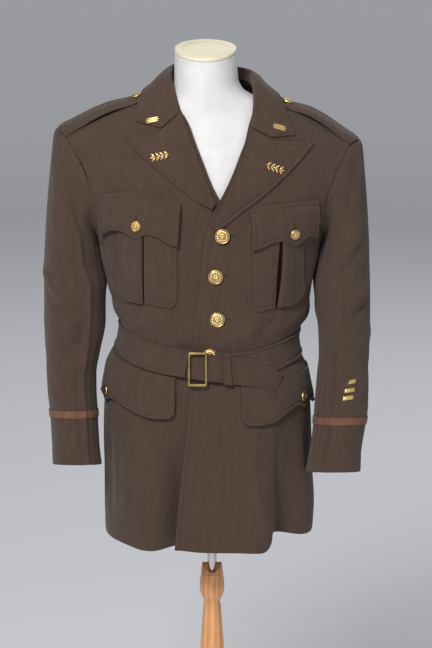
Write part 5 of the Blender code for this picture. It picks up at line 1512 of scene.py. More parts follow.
def buttons():
    """Gilt buttons of the front, straps and flaps, with their buttonholes."""
    for name, x, z, shank in FRONT_BUTTONS:
        button(name, BUTTON_RADIUS, shank, ["coat_front_left"], (x, -0.4, z), AHEAD)
        if name != "front_button_4":
            buttonhole(["coat_front_left"], (x + 0.0100, -0.2, z), (1, 0, 0), AHEAD, 0.024)
    for side in SIDES:
        x, z = BREAST_BUTTONS[side]
        flap = ["coat_breast_flap_" + side]
        button("breast_button_" + side, SMALL_BUTTON_RADIUS, 0.0008, flap, (x, -0.4, z), AHEAD)
        buttonhole(flap, (x, -0.2, z + 0.0090), (0, 0, 1), AHEAD, 0.018)
        turn, level = HIP_BUTTONS[side]
        flap = ["coat_hip_flap_" + side]
        here = Vector(body(turn, level))
        start = here + Vector(facing(np.array(turn), np.array(level))) * 0.08
        button("hip_button_" + side, SMALL_BUTTON_RADIUS, 0.0008, flap, start, here - start)
        buttonhole(flap, here + Vector((0, 0, 0.0090)), (0, 0, 1), here - start, 0.018)
        strap_x = STRAP_BUTTON_X[side]
        button("strap_button_" + side, SMALL_BUTTON_RADIUS, 0.0008, ["coat_strap_" + side],
               (strap_x, -0.009, 1.6), (0, 0, -1))
        buttonhole(["coat_strap_" + side], (strap_x + SIDES[side] * 0.008, -0.009, 1.5), (1, 0, 0), (0, 0, -1), 0.018)
    stitches("coat_buttonholes", HOLES, crosswise=True, length=0.0017, thick=0.00032)
    # The strips of painted shade in the slits, made into one piece
    points, faces = [], []
    for painted_shade in SLIT_SHADES:
        base = len(points)
        points += list(painted_shade)
        for k in range(0, len(painted_shade) - 2, 2):
            faces.append((base + k, base + k + 1, base + k + 3, base + k + 2))
    make("coat_buttonhole_slit_shade", points, faces, MATERIALS["painted_shade"])


BUCKLE_SIZE = (0.032, 0.057)
BUCKLE_CENTRE = (-0.0240, 0.9940)
BUCKLE_WIRE = 0.0018


def buckle():
    """Open brass frame with softened corners."""
    x, z = BUCKLE_CENTRE
    point, _ = touch(["coat_belt_tongue"], (x, -0.4, z), AHEAD)
    wide = BUCKLE_SIZE[0] / 2 - BUCKLE_WIRE
    high = BUCKLE_SIZE[1] / 2 - BUCKLE_WIRE
    corner = 0.0024
    line = []
    for sx, sz, start in ((1, 1, 0.0), (-1, 1, 0.5), (-1, -1, 1.0), (1, -1, 1.5)):
        for a in np.linspace(0, 0.5, 7):
            angle = (start + a) * pi
            line.append((sx * (wide - corner) + corner * cos(angle), sz * (high - corner) + corner * sin(angle)))
    line = np.array(line)
    ahead = np.roll(line, -1, axis=0) - np.roll(line, 1, axis=0)
    ahead = ahead / np.linalg.norm(ahead, axis=1)[:, None]
    beside = np.stack((ahead[:, 1], -ahead[:, 0]), axis=1)
    rings = []
    for a in np.linspace(0, 2 * pi, 16, endpoint=False):
        out = power(np.array(cos(a)), 0.6) * BUCKLE_WIRE * 0.98
        rise = power(np.array(sin(a)), 0.6) * BUCKLE_WIRE * 0.82
        rings.append(stack(line[:, 0] + beside[:, 0] * out, -rise, line[:, 1] + beside[:, 1] * out))
    grid = np.array(rings)
    rows, columns = grid.shape[:2]
    index = np.arange(rows * columns).reshape(rows, columns)
    a, b = index, np.roll(index, -1, axis=1)
    c, d = np.roll(b, -1, axis=0), np.roll(index, -1, axis=0)
    faces = np.stack([a, b, c, d], axis=-1).reshape(-1, 4)
    tilt = radians(-4)
    turned = np.array(((1, 0, 0), (0, cos(tilt), -sin(tilt)), (0, sin(tilt), cos(tilt))))
    points = grid.reshape(-1, 3) @ turned.T + np.array(point + Vector((0, -BUCKLE_WIRE - 0.0028, 0)))
    piece = make("coat_buckle", points, faces[:, ::-1], MATERIALS["brass"])
    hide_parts("buckle")


# Bars of the left sleeve: name, share round the sleeve, height
SERVICE_BARS = (
    ("service_bar_1", 0.2134, 0.9590),
    ("service_bar_2", 0.2190, 0.9445),
    ("service_bar_3", 0.2240, 0.9315),
)
BAR_SIZE = (0.018, 0.0075)
BAR_SLANT = 0.12


def service_bars():
    """Short bars of gold thread, worked in satin stitch, sewn on the left sleeve."""
    for name, share, level in SERVICE_BARS:
        across = np.linspace(-0.5, 0.5, 61)
        down = np.linspace(-0.5, 0.5, 13)
        a, d = np.meshgrid(across, down)
        at = share - a * BAR_SIZE[0] / 0.33
        height = level + d * BAR_SIZE[1] + a * BAR_SIZE[0] * BAR_SLANT
        here = sleeve_ring("left", at, height)
        beside = sleeve_ring("left", at - 0.01, height) - sleeve_ring("left", at + 0.01, height)
        up = sleeve_ring("left", at, height + 0.005) - sleeve_ring("left", at, height - 0.005)
        out = unit(np.cross(beside, up))
        rim = np.minimum((0.5 - np.abs(a)) * BAR_SIZE[0], (0.5 - np.abs(d)) * BAR_SIZE[1])
        rise = 0.0013 + 0.0007 * (1 - np.exp(-(rim / 0.0009))) + 0.00012 * np.cos(a * 2 * pi * 30)
        rise = np.where(rim < 1e-6, 0.0002, rise)
        grid = here + out * rise[..., None]
        faces = grid_faces(*grid.shape[:2])
        piece = make("coat_" + name, grid.reshape(-1, 3), faces, MATERIALS["gold_thread"])
        normal = np.cross(grid[7, 31] - grid[6, 30], grid[7, 30] - grid[6, 31])
        if np.dot(normal, (1.0, -1.0, 0.0)) < 0:
            piece.data.flip_normals()
        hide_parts(name)


# Pins: name, piece below, x, height, width, depth, turn in its plane
PINS = (
    ("collar_pin_right", "coat_collar", -0.0985, 1.4000, 0.0240, 0.0100, 8.0),
    ("collar_pin_left", "coat_collar", 0.1120, 1.3880, 0.0240, 0.0100, -10.0),
    ("lapel_pin_right", "coat_lapel_right", -0.0850, 1.3460, 0.0340, 0.0150, 10.0),
    ("lapel_pin_left", "coat_lapel_left", 0.1030, 1.3270, 0.0340, 0.0150, -18.0),
)


def blob(points, faces, centre, along, wide, high, sharp=1.0, count=10):
    """Adds a domed leaf or bar to lists of points and faces, in the plane of a pin."""
    way = np.array((cos(along), sin(along)))
    beside = np.array((-way[1], way[0]))
    base = len(points)
    for i in range(count + 1):
        t = i / count
        half = wide[1] / 2 * max(0.04, sin(pi * min(max(t, 0.02), 0.98)) ** sharp)
        for s in (-1.0, -0.55, 0.0, 0.55, 1.0):
            spot = np.array(centre) + way * (t - 0.5) * wide[0] + beside * half * s
            rise = high * (1 - 0.85 * s * s) * (0.35 + 0.65 * sin(pi * t) ** 0.6)
            points.append((spot[0], spot[1], rise if abs(s) < 1 else 0.0))
    for i in range(count):
        for k in range(4):
            a = base + i * 5 + k
            faces.append((a, a + 5, a + 6, a + 1))


def pins():
    """Ribbed bars on the collar and leafy sprigs on the lapels, of no one's pattern."""
    for name, below, x, z, wide, deep, turn in PINS:
        point, normal = touch([below], (x, -0.4, z), AHEAD)
        points, faces = [], []
        if name.startswith("collar"):
            for k in (-1, 0, 1):
                blob(points, faces, (0.0, k * deep * 0.32), 0.0, (wide * (1 - 0.12 * abs(k)), deep * 0.30),
                     0.0013, sharp=0.25, count=18)
        else:
            blob(points, faces, (0, 0), 0.0, (wide * 0.98, deep * 0.10), 0.0013, sharp=0.3, count=16)
            for k in range(4):
                at = -0.36 + 0.22 * k
                for s in (-1, 1):
                    blob(points, faces, (wide * (at + 0.07), s * deep * 0.25), s * 0.75, (wide * 0.26, deep * 0.26),
                         0.0016, sharp=0.8)
            blob(points, faces, (wide * 0.44, 0.0), 0.0, (wide * 0.22, deep * 0.28), 0.0017, sharp=0.8)
        level = Vector((cos(radians(turn)), 0, sin(radians(turn))))
        level = (level - normal * level.dot(normal)).normalized()
        if name.endswith("right"):
            level.negate()
        up = normal.cross(level)
        frame_of = np.array((level, up, normal))
        placed = np.array(points) @ frame_of + np.array(point + normal * 0.0008)
        back = np.array([(p[0], p[1], -0.0006) for p in points]) @ frame_of + np.array(point + normal * 0.0008)
        count = len(points)
        all_faces = list(faces) + [tuple(np.array(f)[::-1] + count) for f in faces]
        seen = {}
        for f in faces:
            for a, b in zip(f, f[1:] + f[:1]):
                seen[(a, b)] = seen.get((a, b), 0) + 1
        for a, b in seen:
            if (b, a) not in seen:
                all_faces.append((b, a, a + count, b + count))
        piece = make("coat_" + name, np.concatenate((placed, back)), all_faces, MATERIALS["gilt"])
        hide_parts(name)
        if name.startswith("lapel"):
            bead, bead_faces = [], []
            for i in range(7):
                for k in range(16):
                    a, b = pi / 2 * i / 6.5, 2 * pi * k / 16
                    bead.append((0.0021 * sin(a) * cos(b), 0.0021 * sin(a) * sin(b), 0.0021 * cos(a) + 0.0006))
            for i in range(6):
                for k in range(16):
                    m = (k + 1) % 16
                    bead_faces.append((i * 16 + k, (i + 1) * 16 + k, (i + 1) * 16 + m, i * 16 + m))
            set_in = np.array(bead) @ frame_of + np.array(point + normal * 0.0008)
            make("coat_" + name + "_bead", set_in, bead_faces, MATERIALS["silver"])


FORM = table(
    "level left right front back round",
    (0.840, 0.122, -0.128, 0.096, 0.094, 2.0),
    (0.850, 0.132, -0.138, 0.104, 0.101, 2.0),
    (0.900, 0.138, -0.144, 0.109, 0.104, 2.0),
    (0.970, 0.129, -0.136, 0.104, 0.092, 2.0),
    (1.040, 0.119, -0.127, 0.097, 0.083, 2.0),
    (1.110, 0.134, -0.142, 0.103, 0.092, 2.0),
    (1.190, 0.156, -0.164, 0.112, 0.101, 2.0),
    (1.250, 0.168, -0.176, 0.114, 0.104, 2.0),
    (1.310, 0.170, -0.179, 0.106, 0.103, 2.0),
    (1.360, 0.167, -0.178, 0.088, 0.097, 1.9),
    (1.388, 0.160, -0.176, 0.074, 0.087, 1.65),
    (1.4058, 0.1495, -0.1735, 0.066, 0.077, 1.5),
    (1.4162, 0.1240, -0.1500, 0.064, 0.070, 1.5),
    (1.4240, 0.0970, -0.1130, 0.0635, 0.062, 1.6),
    (1.4320, 0.0700, -0.0830, 0.0635, 0.056, 1.8),
    (1.4430, 0.0520, -0.0675, 0.0640, 0.0515, 2.0),
    (1.4600, 0.0440, -0.0632, 0.0645, 0.0490, 2.0),
    (1.506, 0.0410, -0.0620, 0.0645, 0.0485, 2.0),
)
NECK_TOP = 1.506
NECK_TILT = 9.0


def form_ring(level, grow, angle):
    """Ring of the form; a level's plane tilts down towards the front near the top of the neck."""
    left = read(FORM, "left", level) + grow
    right = read(FORM, "right", level) - grow
    front = read(FORM, "front", level) + grow
    back = read(FORM, "back", level) + grow
    rounding = read(FORM, "round", level)
    x = (left + right) / 2 + (left - right) / 2 * power(np.cos(angle), 2 / rounding)
    ahead = power(np.sin(angle), 2 / rounding)
    y = -ahead * np.where(ahead > 0, front, back)
    tilt = tan(radians(NECK_TILT)) * step(1.455, NECK_TOP, level)
    return x, y, tilt


def loft(node, rings, slot):
    """Closed solid through rings of equal count, from the bottom one to the top one, in a node's place."""
    grid = np.array(rings)
    piece = make("coat_" + node, grid.reshape(-1, 3), capped_faces(*grid.shape[:2]), MATERIALS[slot])
    piece.data.set_sharp_from_angle(angle=radians(50))
    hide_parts(node)


def circle(radius, height, angle):
    """Ring of points round the upright axis."""
    return stack(radius * np.cos(angle), radius * np.sin(angle), height)


def form_body():
    """Limbless dress form with its cream cap on the neck."""
    angle = -np.linspace(0, 2 * pi, 96, endpoint=False)
    rings = []
    levels = np.concatenate((np.linspace(FORM_BOTTOM, 0.860, 8), np.linspace(0.870, 1.380, 60),
                             np.linspace(1.386, NECK_TOP, 44)))
    for level in levels:
        x, y, tilt = form_ring(level, 0.0, angle)
        rings.append(stack(x, y, level + y * tilt))
    loft("form_body", rings, "form")
    low = NECK_TOP + 0.0003
    rings = []
    profile = ((0.0, -0.0012), (0.0006, -0.0003), (0.0014, 0.0), (0.0044, 0.0), (0.0054, -0.0004), (0.0060, -0.0014),
               (0.0060, -0.0070), (0.0053, -0.0078), (0.0053, -0.0088), (0.0060, -0.0096), (0.0061, -0.0300))
    for up, grow in profile:
        x, y, tilt = form_ring(NECK_TOP, grow, angle)
        rings.append(stack(x, y, low + up + y * tilt))
    loft("neck_cap", rings, "cap")


POLE_RADIUS = 0.008
FORM_BOTTOM = 0.840
BASE_HEIGHT = 0.028
SADDLE = 0.015
# Profiles of the stand: height, radius
POST_PROFILE = (
    (BASE_HEIGHT + 0.0003, 0.0285), (0.0440, 0.0285), (0.0500, 0.0283), (0.0560, 0.0270), (0.1200, 0.0262),
    (0.2500, 0.0240), (0.4000, 0.0222), (0.4700, 0.0205), (0.4940, 0.0187), (0.5200, 0.0168),
    (0.5430, 0.0150), (0.5500, 0.0137), (0.5530, 0.0138), (0.5560, 0.0160), (0.5660, 0.0202),
    (0.5800, 0.0212), (0.5980, 0.0195), (0.6130, 0.0178),
)
BASE_PROFILE = (
    (0.0000, 0.1650), (0.0015, 0.1672), (0.0040, 0.1688), (0.0080, 0.1698), (0.0120, 0.1700), (0.0160, 0.1698),
    (0.0200, 0.1688), (0.0232, 0.1670), (0.0255, 0.1645), (0.0268, 0.1615), (0.0275, 0.1580),
    (0.0280, 0.1540), (0.0280, 0.1500), (0.0274, 0.1490), (0.0274, 0.1470), (0.0280, 0.1460), (0.0280, 0.0400),
)


def stand():
    """Chrome pole in a turned wooden post, saddled at its top, on a round wooden base."""
    angle = np.linspace(0, 2 * pi, 96, endpoint=False)
    post = table("height radius", *POST_PROFILE)
    heights = np.unique(np.concatenate((post["height"], np.linspace(0.05, 0.61, 120))))
    rings = []
    for height in heights:
        radius = read(post, "radius", height)
        dip = SADDLE * np.abs(np.sin(angle)) ** 1.6 * step(0.600, 0.613, height)
        rings.append(circle(radius, height - dip, angle))
    for rise, radius in ((0.0030, 0.0174), (0.0052, 0.0168), (0.0066, 0.0158), (0.0069, 0.0148), (0.0067, 0.0110),
                         (0.0066, 0.0083)):
        dip = SADDLE * np.abs(np.sin(angle)) ** 1.6
        rings.append(circle(radius, 0.6130 + rise - dip, angle))
    loft("post", rings, "wood")
    rings = [circle(r, z, angle) for z, r in BASE_PROFILE]
    loft("base", rings, "wood")
    ends = ((0.5900, POLE_RADIUS), (0.8300, POLE_RADIUS), (FORM_BOTTOM - 0.0003, POLE_RADIUS))
    rings = [circle(r, z, angle) for z, r in ends]
    loft("pole", rings, "chrome")


def wire(group, kind, inputs=None, **settings):
    """Node of a group, with its inputs linked or set."""
    node = group.nodes.new(kind)
    for key, value in settings.items():
        setattr(node, key, value)
    for key, value in (inputs or {}).items():
        if isinstance(value, bpy.types.NodeSocket):
            group.links.new(value, node.inputs[key])
        else:
            node.inputs[key].default_value = value
    return node


def maths(group, operation, *values, **settings):
    """Result of a maths node."""
    return wire(group, "ShaderNodeMath", dict(enumerate(values)), operation=operation, **settings).outputs[0]


def noise(group, place, scale, detail, roughness=0.5):
    """Value of a noise at a place."""
    inputs = {"Vector": place, "Scale": scale, "Detail": detail, "Roughness": roughness}
    return wire(group, "ShaderNodeTexNoise", inputs).outputs[0]


def remap(group, value, low, high, first, last):
    """Value moved from the range low to high to the range first to last."""
    return wire(group, "ShaderNodeMapRange", {0: value, 1: low, 2: high, 3: first, 4: last}).outputs[0]


def mix(group, share, dark, light):
    """Colour between two others."""
    return wire(group, "ShaderNodeMix", {0: share, 6: dark, 7: light}, data_type="RGBA").outputs[2]


def bumped(group, strength, distance, height):
    """Normal of a surface with some relief."""
    inputs = {"Strength": strength, "Distance": distance, "Height": height}
    return wire(group, "ShaderNodeBump", inputs).outputs[0]


def new_group(name, made, **given):
    """Shader node group with its sockets, and what its inputs give."""
    kinds = {"Color": "NodeSocketColor", "Mask": "NodeSocketFloat", "Normal": "NodeSocketVector"}
    group = bpy.data.node_groups.new(name, "ShaderNodeTree")
    for key, value in given.items():
        kind = "NodeSocketFloat" if isinstance(value, float) else "NodeSocketColor"
        group.interface.new_socket(name=key, in_out="INPUT", socket_type=kind).default_value = value
    for key in made:
        group.interface.new_socket(name=key, in_out="OUTPUT", socket_type=kinds[key])
    return group, wire(group, "NodeGroupInput").outputs


def weave_group():
    """Twill: colour and normal of a woven cloth, its ribs run across the grain at a slant."""
    group, given = new_group("twill", ("Color", "Normal"), Dark=(0.04, 0.03, 0.02, 1), Light=(0.09, 0.07, 0.05, 1),
                             Pitch=0.0013, Slant=0.60, Relief=0.35)
    uv = wire(group, "ShaderNodeUVMap", uv_map="cloth")
    parts = wire(group, "ShaderNodeSeparateXYZ", {0: uv.outputs[0]}).outputs
    across = maths(group, "ADD", parts[0], maths(group, "MULTIPLY", parts[1], given["Slant"]))
    rib = maths(group, "SINE", maths(group, "MULTIPLY", maths(group, "DIVIDE", across, given["Pitch"]), 2 * pi))
    down = maths(group, "DIVIDE", parts[1], given["Pitch"])
    pick = maths(group, "SINE", maths(group, "MULTIPLY", down, 2 * pi * 1.7))
    mixed = maths(group, "MULTIPLY_ADD", pick, 0.35, rib)
    place = wire(group, "ShaderNodeTexCoord").outputs["Object"]
    height = maths(group, "MULTIPLY_ADD", noise(group, place, 420.0, 3.0), 1.4, mixed)
    share = remap(group, height, -1.0, 2.4, 0.0, 1.0)
    streak = wire(group, "ShaderNodeMapping", {"Vector": place, "Scale": (1.0, 1.0, 0.16)}).outputs[0]
    cloud = remap(group, noise(group, streak, 120.0, 5.0, 0.70), 0.30, 0.72, -0.20, 0.24)
    colour = mix(group, maths(group, "ADD", share, cloud, use_clamp=True), given["Dark"], given["Light"])
    wire(group, "NodeGroupOutput", {"Color": colour, "Normal": bumped(group, given["Relief"], 0.0004, share)})
    return group


def mottle_group():
    """Mottling: colour, mask and normal of a surface with faint clouds, darker in its hollows."""
    group, given = new_group("mottle", ("Color", "Mask", "Normal"), Deep=(0.30, 0.17, 0.05, 1),
                             Dark=(0.5, 0.5, 0.5, 1), Light=(0.8, 0.8, 0.8, 1), Scale=20.0, Relief=0.1)
    place = wire(group, "ShaderNodeTexCoord").outputs["Object"]
    mask = remap(group, noise(group, place, given["Scale"], 7.0, 0.6), 0.32, 0.68, 0.0, 1.0)
    hollow = wire(group, "ShaderNodeAttribute", attribute_name="hollow").outputs["Fac"]
    # The colour goes towards Deep where the hollow attribute is high; only the buttons carry that attribute
    hollows_darkened = mix(group, hollow, mix(group, mask, given["Dark"], given["Light"]), given["Deep"])
    normal = bumped(group, given["Relief"], 0.001, mask)
    wire(group, "NodeGroupOutput", {"Color": hollows_darkened, "Mask": mask, "Normal": normal})
    return group


def grain_group():
    """Wood: colour, mask and normal of straight grain that runs along Z."""
    group, given = new_group("grain", ("Color", "Mask", "Normal"), Dark=(0.4, 0.2, 0.1, 1), Light=(0.7, 0.4, 0.2, 1))
    place = wire(group, "ShaderNodeTexCoord").outputs["Object"]
    pull = wire(group, "ShaderNodeMapping", {"Vector": place, "Scale": (1.0, 1.0, 0.07)}).outputs[0]
    wave = {"Vector": pull, "Scale": 34.0, "Distortion": 7.0, "Detail": 3.0, "Detail Scale": 1.6}
    rings = wire(group, "ShaderNodeTexWave", wave, bands_direction="X").outputs[1]
    blend = maths(group, "MULTIPLY_ADD", rings, 0.35, noise(group, pull, 26.0, 5.0))
    total = maths(group, "MULTIPLY_ADD", noise(group, pull, 420.0, 3.0), 0.30, blend)
    mask = remap(group, total, 0.50, 1.05, 1.0, 0.0)
    colour = mix(group, mask, given["Dark"], given["Light"])
    wire(group, "NodeGroupOutput", {"Color": colour, "Mask": mask, "Normal": bumped(group, 0.08, 0.0006, mask)})
    return group


# Finishes: group, dark and light colour, group values, and the Principled shader's own values
FINISHES = {
    "cloth": ("twill", (0.045, 0.0262, 0.0178), (0.096, 0.0575, 0.0400), {"Relief": 0.7},
              {"Roughness": 0.92, "Specular IOR Level": 0.25, "Sheen Weight": 0.10, "Sheen Roughness": 0.6}),
    "thread": ("mottle", (0.072, 0.045, 0.031), (0.120, 0.076, 0.053), {"Scale": 300.0},
               {"Roughness": 0.75, "Specular IOR Level": 0.3}),
    # Near-black painted shade, laid in the buttonholes' slits and on the inner side of the breast pockets' pleats where
    # shadow falls
    "painted_shade": ("mottle", (0.008, 0.004, 0.003), (0.013, 0.007, 0.005), {"Scale": 200.0},
             {"Roughness": 1.0, "Specular IOR Level": 0.0}),
    "braid": ("twill", (0.112, 0.050, 0.031), (0.220, 0.106, 0.066), {"Pitch": 0.0016, "Slant": 0.0, "Relief": 0.6},
              {"Roughness": 0.82, "Specular IOR Level": 0.3, "Sheen Weight": 0.08}),
    "gilt": ("mottle", (0.84, 0.58, 0.23), (1.0, 0.78, 0.40), {"Scale": 60.0, "Relief": 0.04},
             {"Roughness": 0.36, "Metallic": 1.0}),
    "brass": ("mottle", (0.40, 0.27, 0.09), (0.66, 0.48, 0.20), {"Scale": 45.0, "Relief": 0.06},
              {"Roughness": 0.34, "Metallic": 1.0}),
    "silver": ("mottle", (0.62, 0.62, 0.62), (0.85, 0.85, 0.86), {"Scale": 60.0, "Relief": 0.02},
               {"Roughness": 0.22, "Metallic": 1.0}),
    "gold_thread": ("mottle", (0.44, 0.29, 0.09), (0.80, 0.58, 0.24), {"Scale": 260.0, "Relief": 0.25},
                    {"Roughness": 0.45, "Metallic": 0.55}),
    "form": ("mottle", (0.70, 0.69, 0.69), (0.80, 0.795, 0.795), {"Scale": 30.0, "Relief": 0.06},
             {"Roughness": 0.62, "Specular IOR Level": 0.3}),
    "cap": ("mottle", (0.76, 0.69, 0.48), (0.84, 0.78, 0.60), {"Scale": 18.0, "Relief": 0.03}, {"Roughness": 0.55}),
    "chrome": ("mottle", (0.50, 0.47, 0.45), (0.66, 0.63, 0.61), {"Scale": 40.0, "Relief": 0.01},
               {"Roughness": 0.10, "Metallic": 1.0}),
    "wood": ("grain", (0.56, 0.245, 0.085), (0.88, 0.435, 0.185), {},
             {"Roughness": 0.36, "Coat Weight": 0.35, "Coat Roughness": 0.18}),
}


def make_materials():
    """One material for each finish; each links the values that a shared group puts out."""
    groups = {"twill": weave_group(), "mottle": mottle_group(), "grain": grain_group()}
    for name, (kind, dark, light, values, own) in FINISHES.items():
        material = bpy.data.materials.new("coat_" + name)
        material.use_nodes = True
        tree = material.node_tree
        shader = tree.nodes["Principled BSDF"]
        look = tree.nodes.new("ShaderNodeGroup")
        look.node_tree = groups[kind]
        look.inputs["Dark"].default_value = (*dark, 1.0)
        look.inputs["Light"].default_value = (*light, 1.0)
        for key, value in values.items():
            look.inputs[key].default_value = value
        for key, value in own.items():
            shader.inputs[key].default_value = value
        tree.links.new(look.outputs["Color"], shader.inputs["Base Color"])
        tree.links.new(look.outputs["Normal"], shader.inputs["Normal"])
        MATERIALS[name] = material


def area_light(name, spot, aim, size, power_of, colour):
    """Soft light that looks at a point."""
    data = bpy.data.lights.new(name, "AREA")
    data.shape = "RECTANGLE"
    data.size, data.size_y = size
    data.energy = power_of
    data.color = colour
    lamp = bpy.data.objects.new(name, data)
    bpy.context.scene.collection.objects.link(lamp)
    lamp.location = spot
    lamp.rotation_euler = (Vector(aim) - Vector(spot)).to_track_quat("-Z", "Y").to_euler()
    lamp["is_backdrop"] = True


def studio():
    """Pale round floor that sweeps up far away, soft lights, and the camera at the picture's angle."""
    scene = bpy.context.scene
    settings = scene.coat_studio
    flat, sweep = 6.5, 2.0
    profile = [(r, 0.0) for r in (0.5, 2.0, 4.5, flat)]
    profile += [(flat + sweep * sin(a), sweep * (1 - cos(a))) for a in np.linspace(0.2, 1.0, 7)]
    turns = np.linspace(0, 2 * pi, 64, endpoint=False)
    points = [(r * cos(turn), r * sin(turn), z) for r, z in profile for turn in turns]
    faces = [tuple(map(int, face[::-1])) for face in grid_faces(len(profile), len(turns), True)]
    faces.append(tuple(range(len(turns))))
    mesh = bpy.data.meshes.new("studio_floor")
    mesh.from_pydata(points, [], faces)
    mesh.shade_smooth()
    floor = bpy.data.objects.new("studio_floor", mesh)
    scene.collection.objects.link(floor)
    floor.location.z = -0.0004
    paint = bpy.data.materials.new("studio_floor")
    paint.use_nodes = True
    shader = paint.node_tree.nodes["Principled BSDF"]
    shader.inputs["Base Color"].default_value = (0.84, 0.84, 0.87, 1.0)
    shader.inputs["Roughness"].default_value = 0.9
    mesh.materials.append(paint)
    floor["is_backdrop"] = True
    aim = (0.0, 0.0, 1.05)
    area_light("key", (-1.1, -3.1, 3.5), aim, (1.0, 1.0), settings.key, (1.0, 0.985, 0.96))
    area_light("fill", (2.4, -3.6, 1.6), aim, (1.8, 1.8), settings.fill, (0.96, 0.98, 1.0))
    area_light("top", (0.3, 0.6, 4.4), aim, (2.2, 2.2), settings.top, (1.0, 1.0, 1.0))
    area_light("back", (0.9, 4.4, 3.4), aim, (2.4, 1.6), settings.back, (0.97, 0.98, 1.0))
    world = bpy.data.worlds.new("studio")
    world.use_nodes = True
    world.node_tree.nodes["Background"].inputs[0].default_value = (0.80, 0.82, 0.86, 1.0)
    world.node_tree.nodes["Background"].inputs[1].default_value = settings.world
    scene.world = world
    scene.view_settings.view_transform = "Standard"
    data = bpy.data.cameras.new("camera")
    data.lens = 180.0
    data.sensor_width = 36.0
    camera = bpy.data.objects.new("camera", data)
    scene.collection.objects.link(camera)
    tilt = settings.elevation
    camera.location = (0.0068, -cos(tilt) * settings.distance, 1.04 + sin(tilt) * settings.distance)
    camera.rotation_euler = (pi / 2 - tilt, 0.0, 0.0)
    scene.camera = camera
    camera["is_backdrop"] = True


class CoatClothSettings(bpy.types.PropertyGroup):
    wall: FloatProperty(name="Cloth wall", description="Thickness of the coat's cloth", default=0.0017,
                        min=0.0008, max=0.003, unit="LENGTH", subtype="DISTANCE")
    crease: FloatProperty(name="Creases", description="Strength of the hand-placed creases", default=1.35,
                          min=0.0, max=2.0, subtype="FACTOR")
    stitch_pitch: FloatProperty(name="Stitch", description="Length from one topstitch to the next", default=0.0032,
                                min=0.002, max=0.01, unit="LENGTH", subtype="DISTANCE")


class CoatStudioSettings(bpy.types.PropertyGroup):
    distance: FloatProperty(name="Camera distance", description="From the camera to the coat", default=5.5,
                            min=2.0, max=20.0, unit="LENGTH", subtype="DISTANCE")
    elevation: FloatProperty(name="Camera elevation", description="How far the camera looks down",
                             default=radians(12.5), min=-1.5, max=1.5, unit="ROTATION", subtype="ANGLE")
    key: FloatProperty(name="Key", description="Power of the key light", default=126.0, min=0.0, subtype="POWER")
    fill: FloatProperty(name="Fill", description="Power of the fill light", default=17.0, min=0.0, subtype="POWER")
    top: FloatProperty(name="Top", description="Power of the top light", default=10.0, min=0.0, subtype="POWER")
    back: FloatProperty(name="Back", description="Power of the light behind", default=38.0, min=0.0, subtype="POWER")
    world: FloatProperty(name="Room", description="Strength of the room's even light", default=0.36,
                         min=0.0, max=5.0, subtype="FACTOR")


class COAT_OT_materials(bpy.types.Operator):
    """Make the coat's and the stand's materials"""

    bl_idname = "coat.materials"
    bl_label = "Materials"

    def execute(self, context):
        make_materials()
        return {"FINISHED"}


class COAT_OT_form(bpy.types.Operator):
    """Build the dress form, its cap, pole, post and base"""

    bl_idname = "coat.form"
    bl_label = "Dress form and stand"

    def execute(self, context):
        form_body()
        stand()
        return {"FINISHED"}


class COAT_OT_body(bpy.types.Operator):
    """Build the fronts and backs of the coat"""

    bl_idname = "coat.body"
    bl_label = "Fronts and backs"

    def execute(self, context):
        for side in SIDES:
            front_panel(side)
            back_panel(side)
        return {"FINISHED"}


class COAT_OT_sleeves(bpy.types.Operator):
    """Build the two-piece sleeves, their braid and the bars on the left one"""

    bl_idname = "coat.sleeves"
    bl_label = "Sleeves"

    def execute(self, context):
        for side in SIDES:
            sleeve(side)
            braid(side)
        service_bars()
        return {"FINISHED"}


class COAT_OT_collar(bpy.types.Operator):
    """Build the lapels, the collar and the shoulder straps"""

    bl_idname = "coat.collar"
    bl_label = "Collar, lapels and straps"

    def execute(self, context):
        for side in SIDES:
            lapel(side)
            strap(side)
        collar()
        return {"FINISHED"}


class COAT_OT_pockets(bpy.types.Operator):
    """Build the pockets and their flaps"""

    bl_idname = "coat.pockets"
    bl_label = "Pockets and flaps"

    def execute(self, context):
        for side in SIDES:
            breast_pocket(side)
            breast_flap(side)
            hip_flap(side)
        return {"FINISHED"}


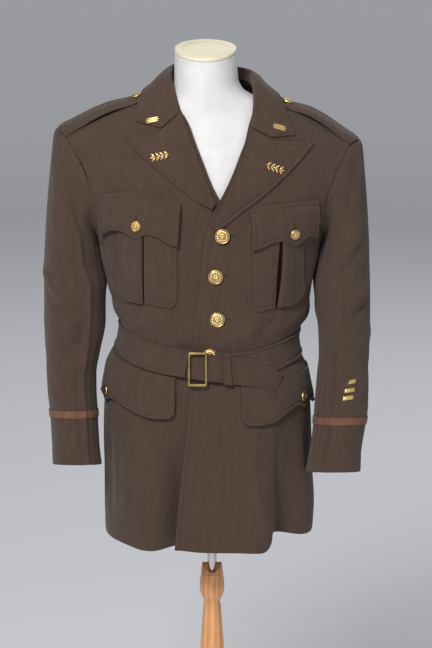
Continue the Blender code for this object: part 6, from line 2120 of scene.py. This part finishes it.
class COAT_OT_belt(bpy.types.Operator):
    """Build the belt, its tongue and keeper, and the buckle"""

    bl_idname = "coat.belt"
    bl_label = "Belt and buckle"

    def execute(self, context):
        belt()
        buckle()
        return {"FINISHED"}


class COAT_OT_trim(bpy.types.Operator):
    """Seat the buttons and pins, work the buttonholes and sew the topstitching"""

    bl_idname = "coat.trim"
    bl_label = "Buttons, pins and stitches"

    def execute(self, context):
        buttons()
        pins()
        stitches("coat_topstitching", THREADS)
        return {"FINISHED"}


class COAT_OT_studio(bpy.types.Operator):
    """Set the floor, the lights and the camera"""

    bl_idname = "coat.studio"
    bl_label = "Studio"

    def execute(self, context):
        studio()
        return {"FINISHED"}


OPERATORS = (
    COAT_OT_materials,
    COAT_OT_form,
    COAT_OT_body,
    COAT_OT_sleeves,
    COAT_OT_collar,
    COAT_OT_pockets,
    COAT_OT_belt,
    COAT_OT_trim,
    COAT_OT_studio,
)


class COAT_PT_panel(bpy.types.Panel):
    bl_idname = "COAT_PT_panel"
    bl_label = "Service coat"
    bl_space_type = "VIEW_3D"
    bl_region_type = "UI"
    bl_category = "Coat"

    def draw(self, context):
        layout = self.layout
        for settings in (context.scene.coat_cloth, context.scene.coat_studio):
            for name in settings.bl_rna.properties.keys():
                if name not in ("rna_type", "name"):
                    layout.prop(settings, name)
        for operator in OPERATORS:
            layout.operator(operator.bl_idname)


CLASSES = (CoatClothSettings, CoatStudioSettings, *OPERATORS, COAT_PT_panel)


def register():
    for made in CLASSES:
        bpy.utils.register_class(made)
    bpy.types.Scene.coat_cloth = PointerProperty(type=CoatClothSettings)
    bpy.types.Scene.coat_studio = PointerProperty(type=CoatStudioSettings)


def unregister():
    del bpy.types.Scene.coat_studio
    del bpy.types.Scene.coat_cloth
    for made in reversed(CLASSES):
        bpy.utils.unregister_class(made)


def main():
    register()
    for operator in OPERATORS:
        group, name = operator.bl_idname.split(".")
        getattr(getattr(bpy.ops, group), name)()
    box_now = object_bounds()
    str([[list(map(float, corner)) for corner in box] for box in (box_at_load, box_now)])


if __name__ == "__main__":
    main()
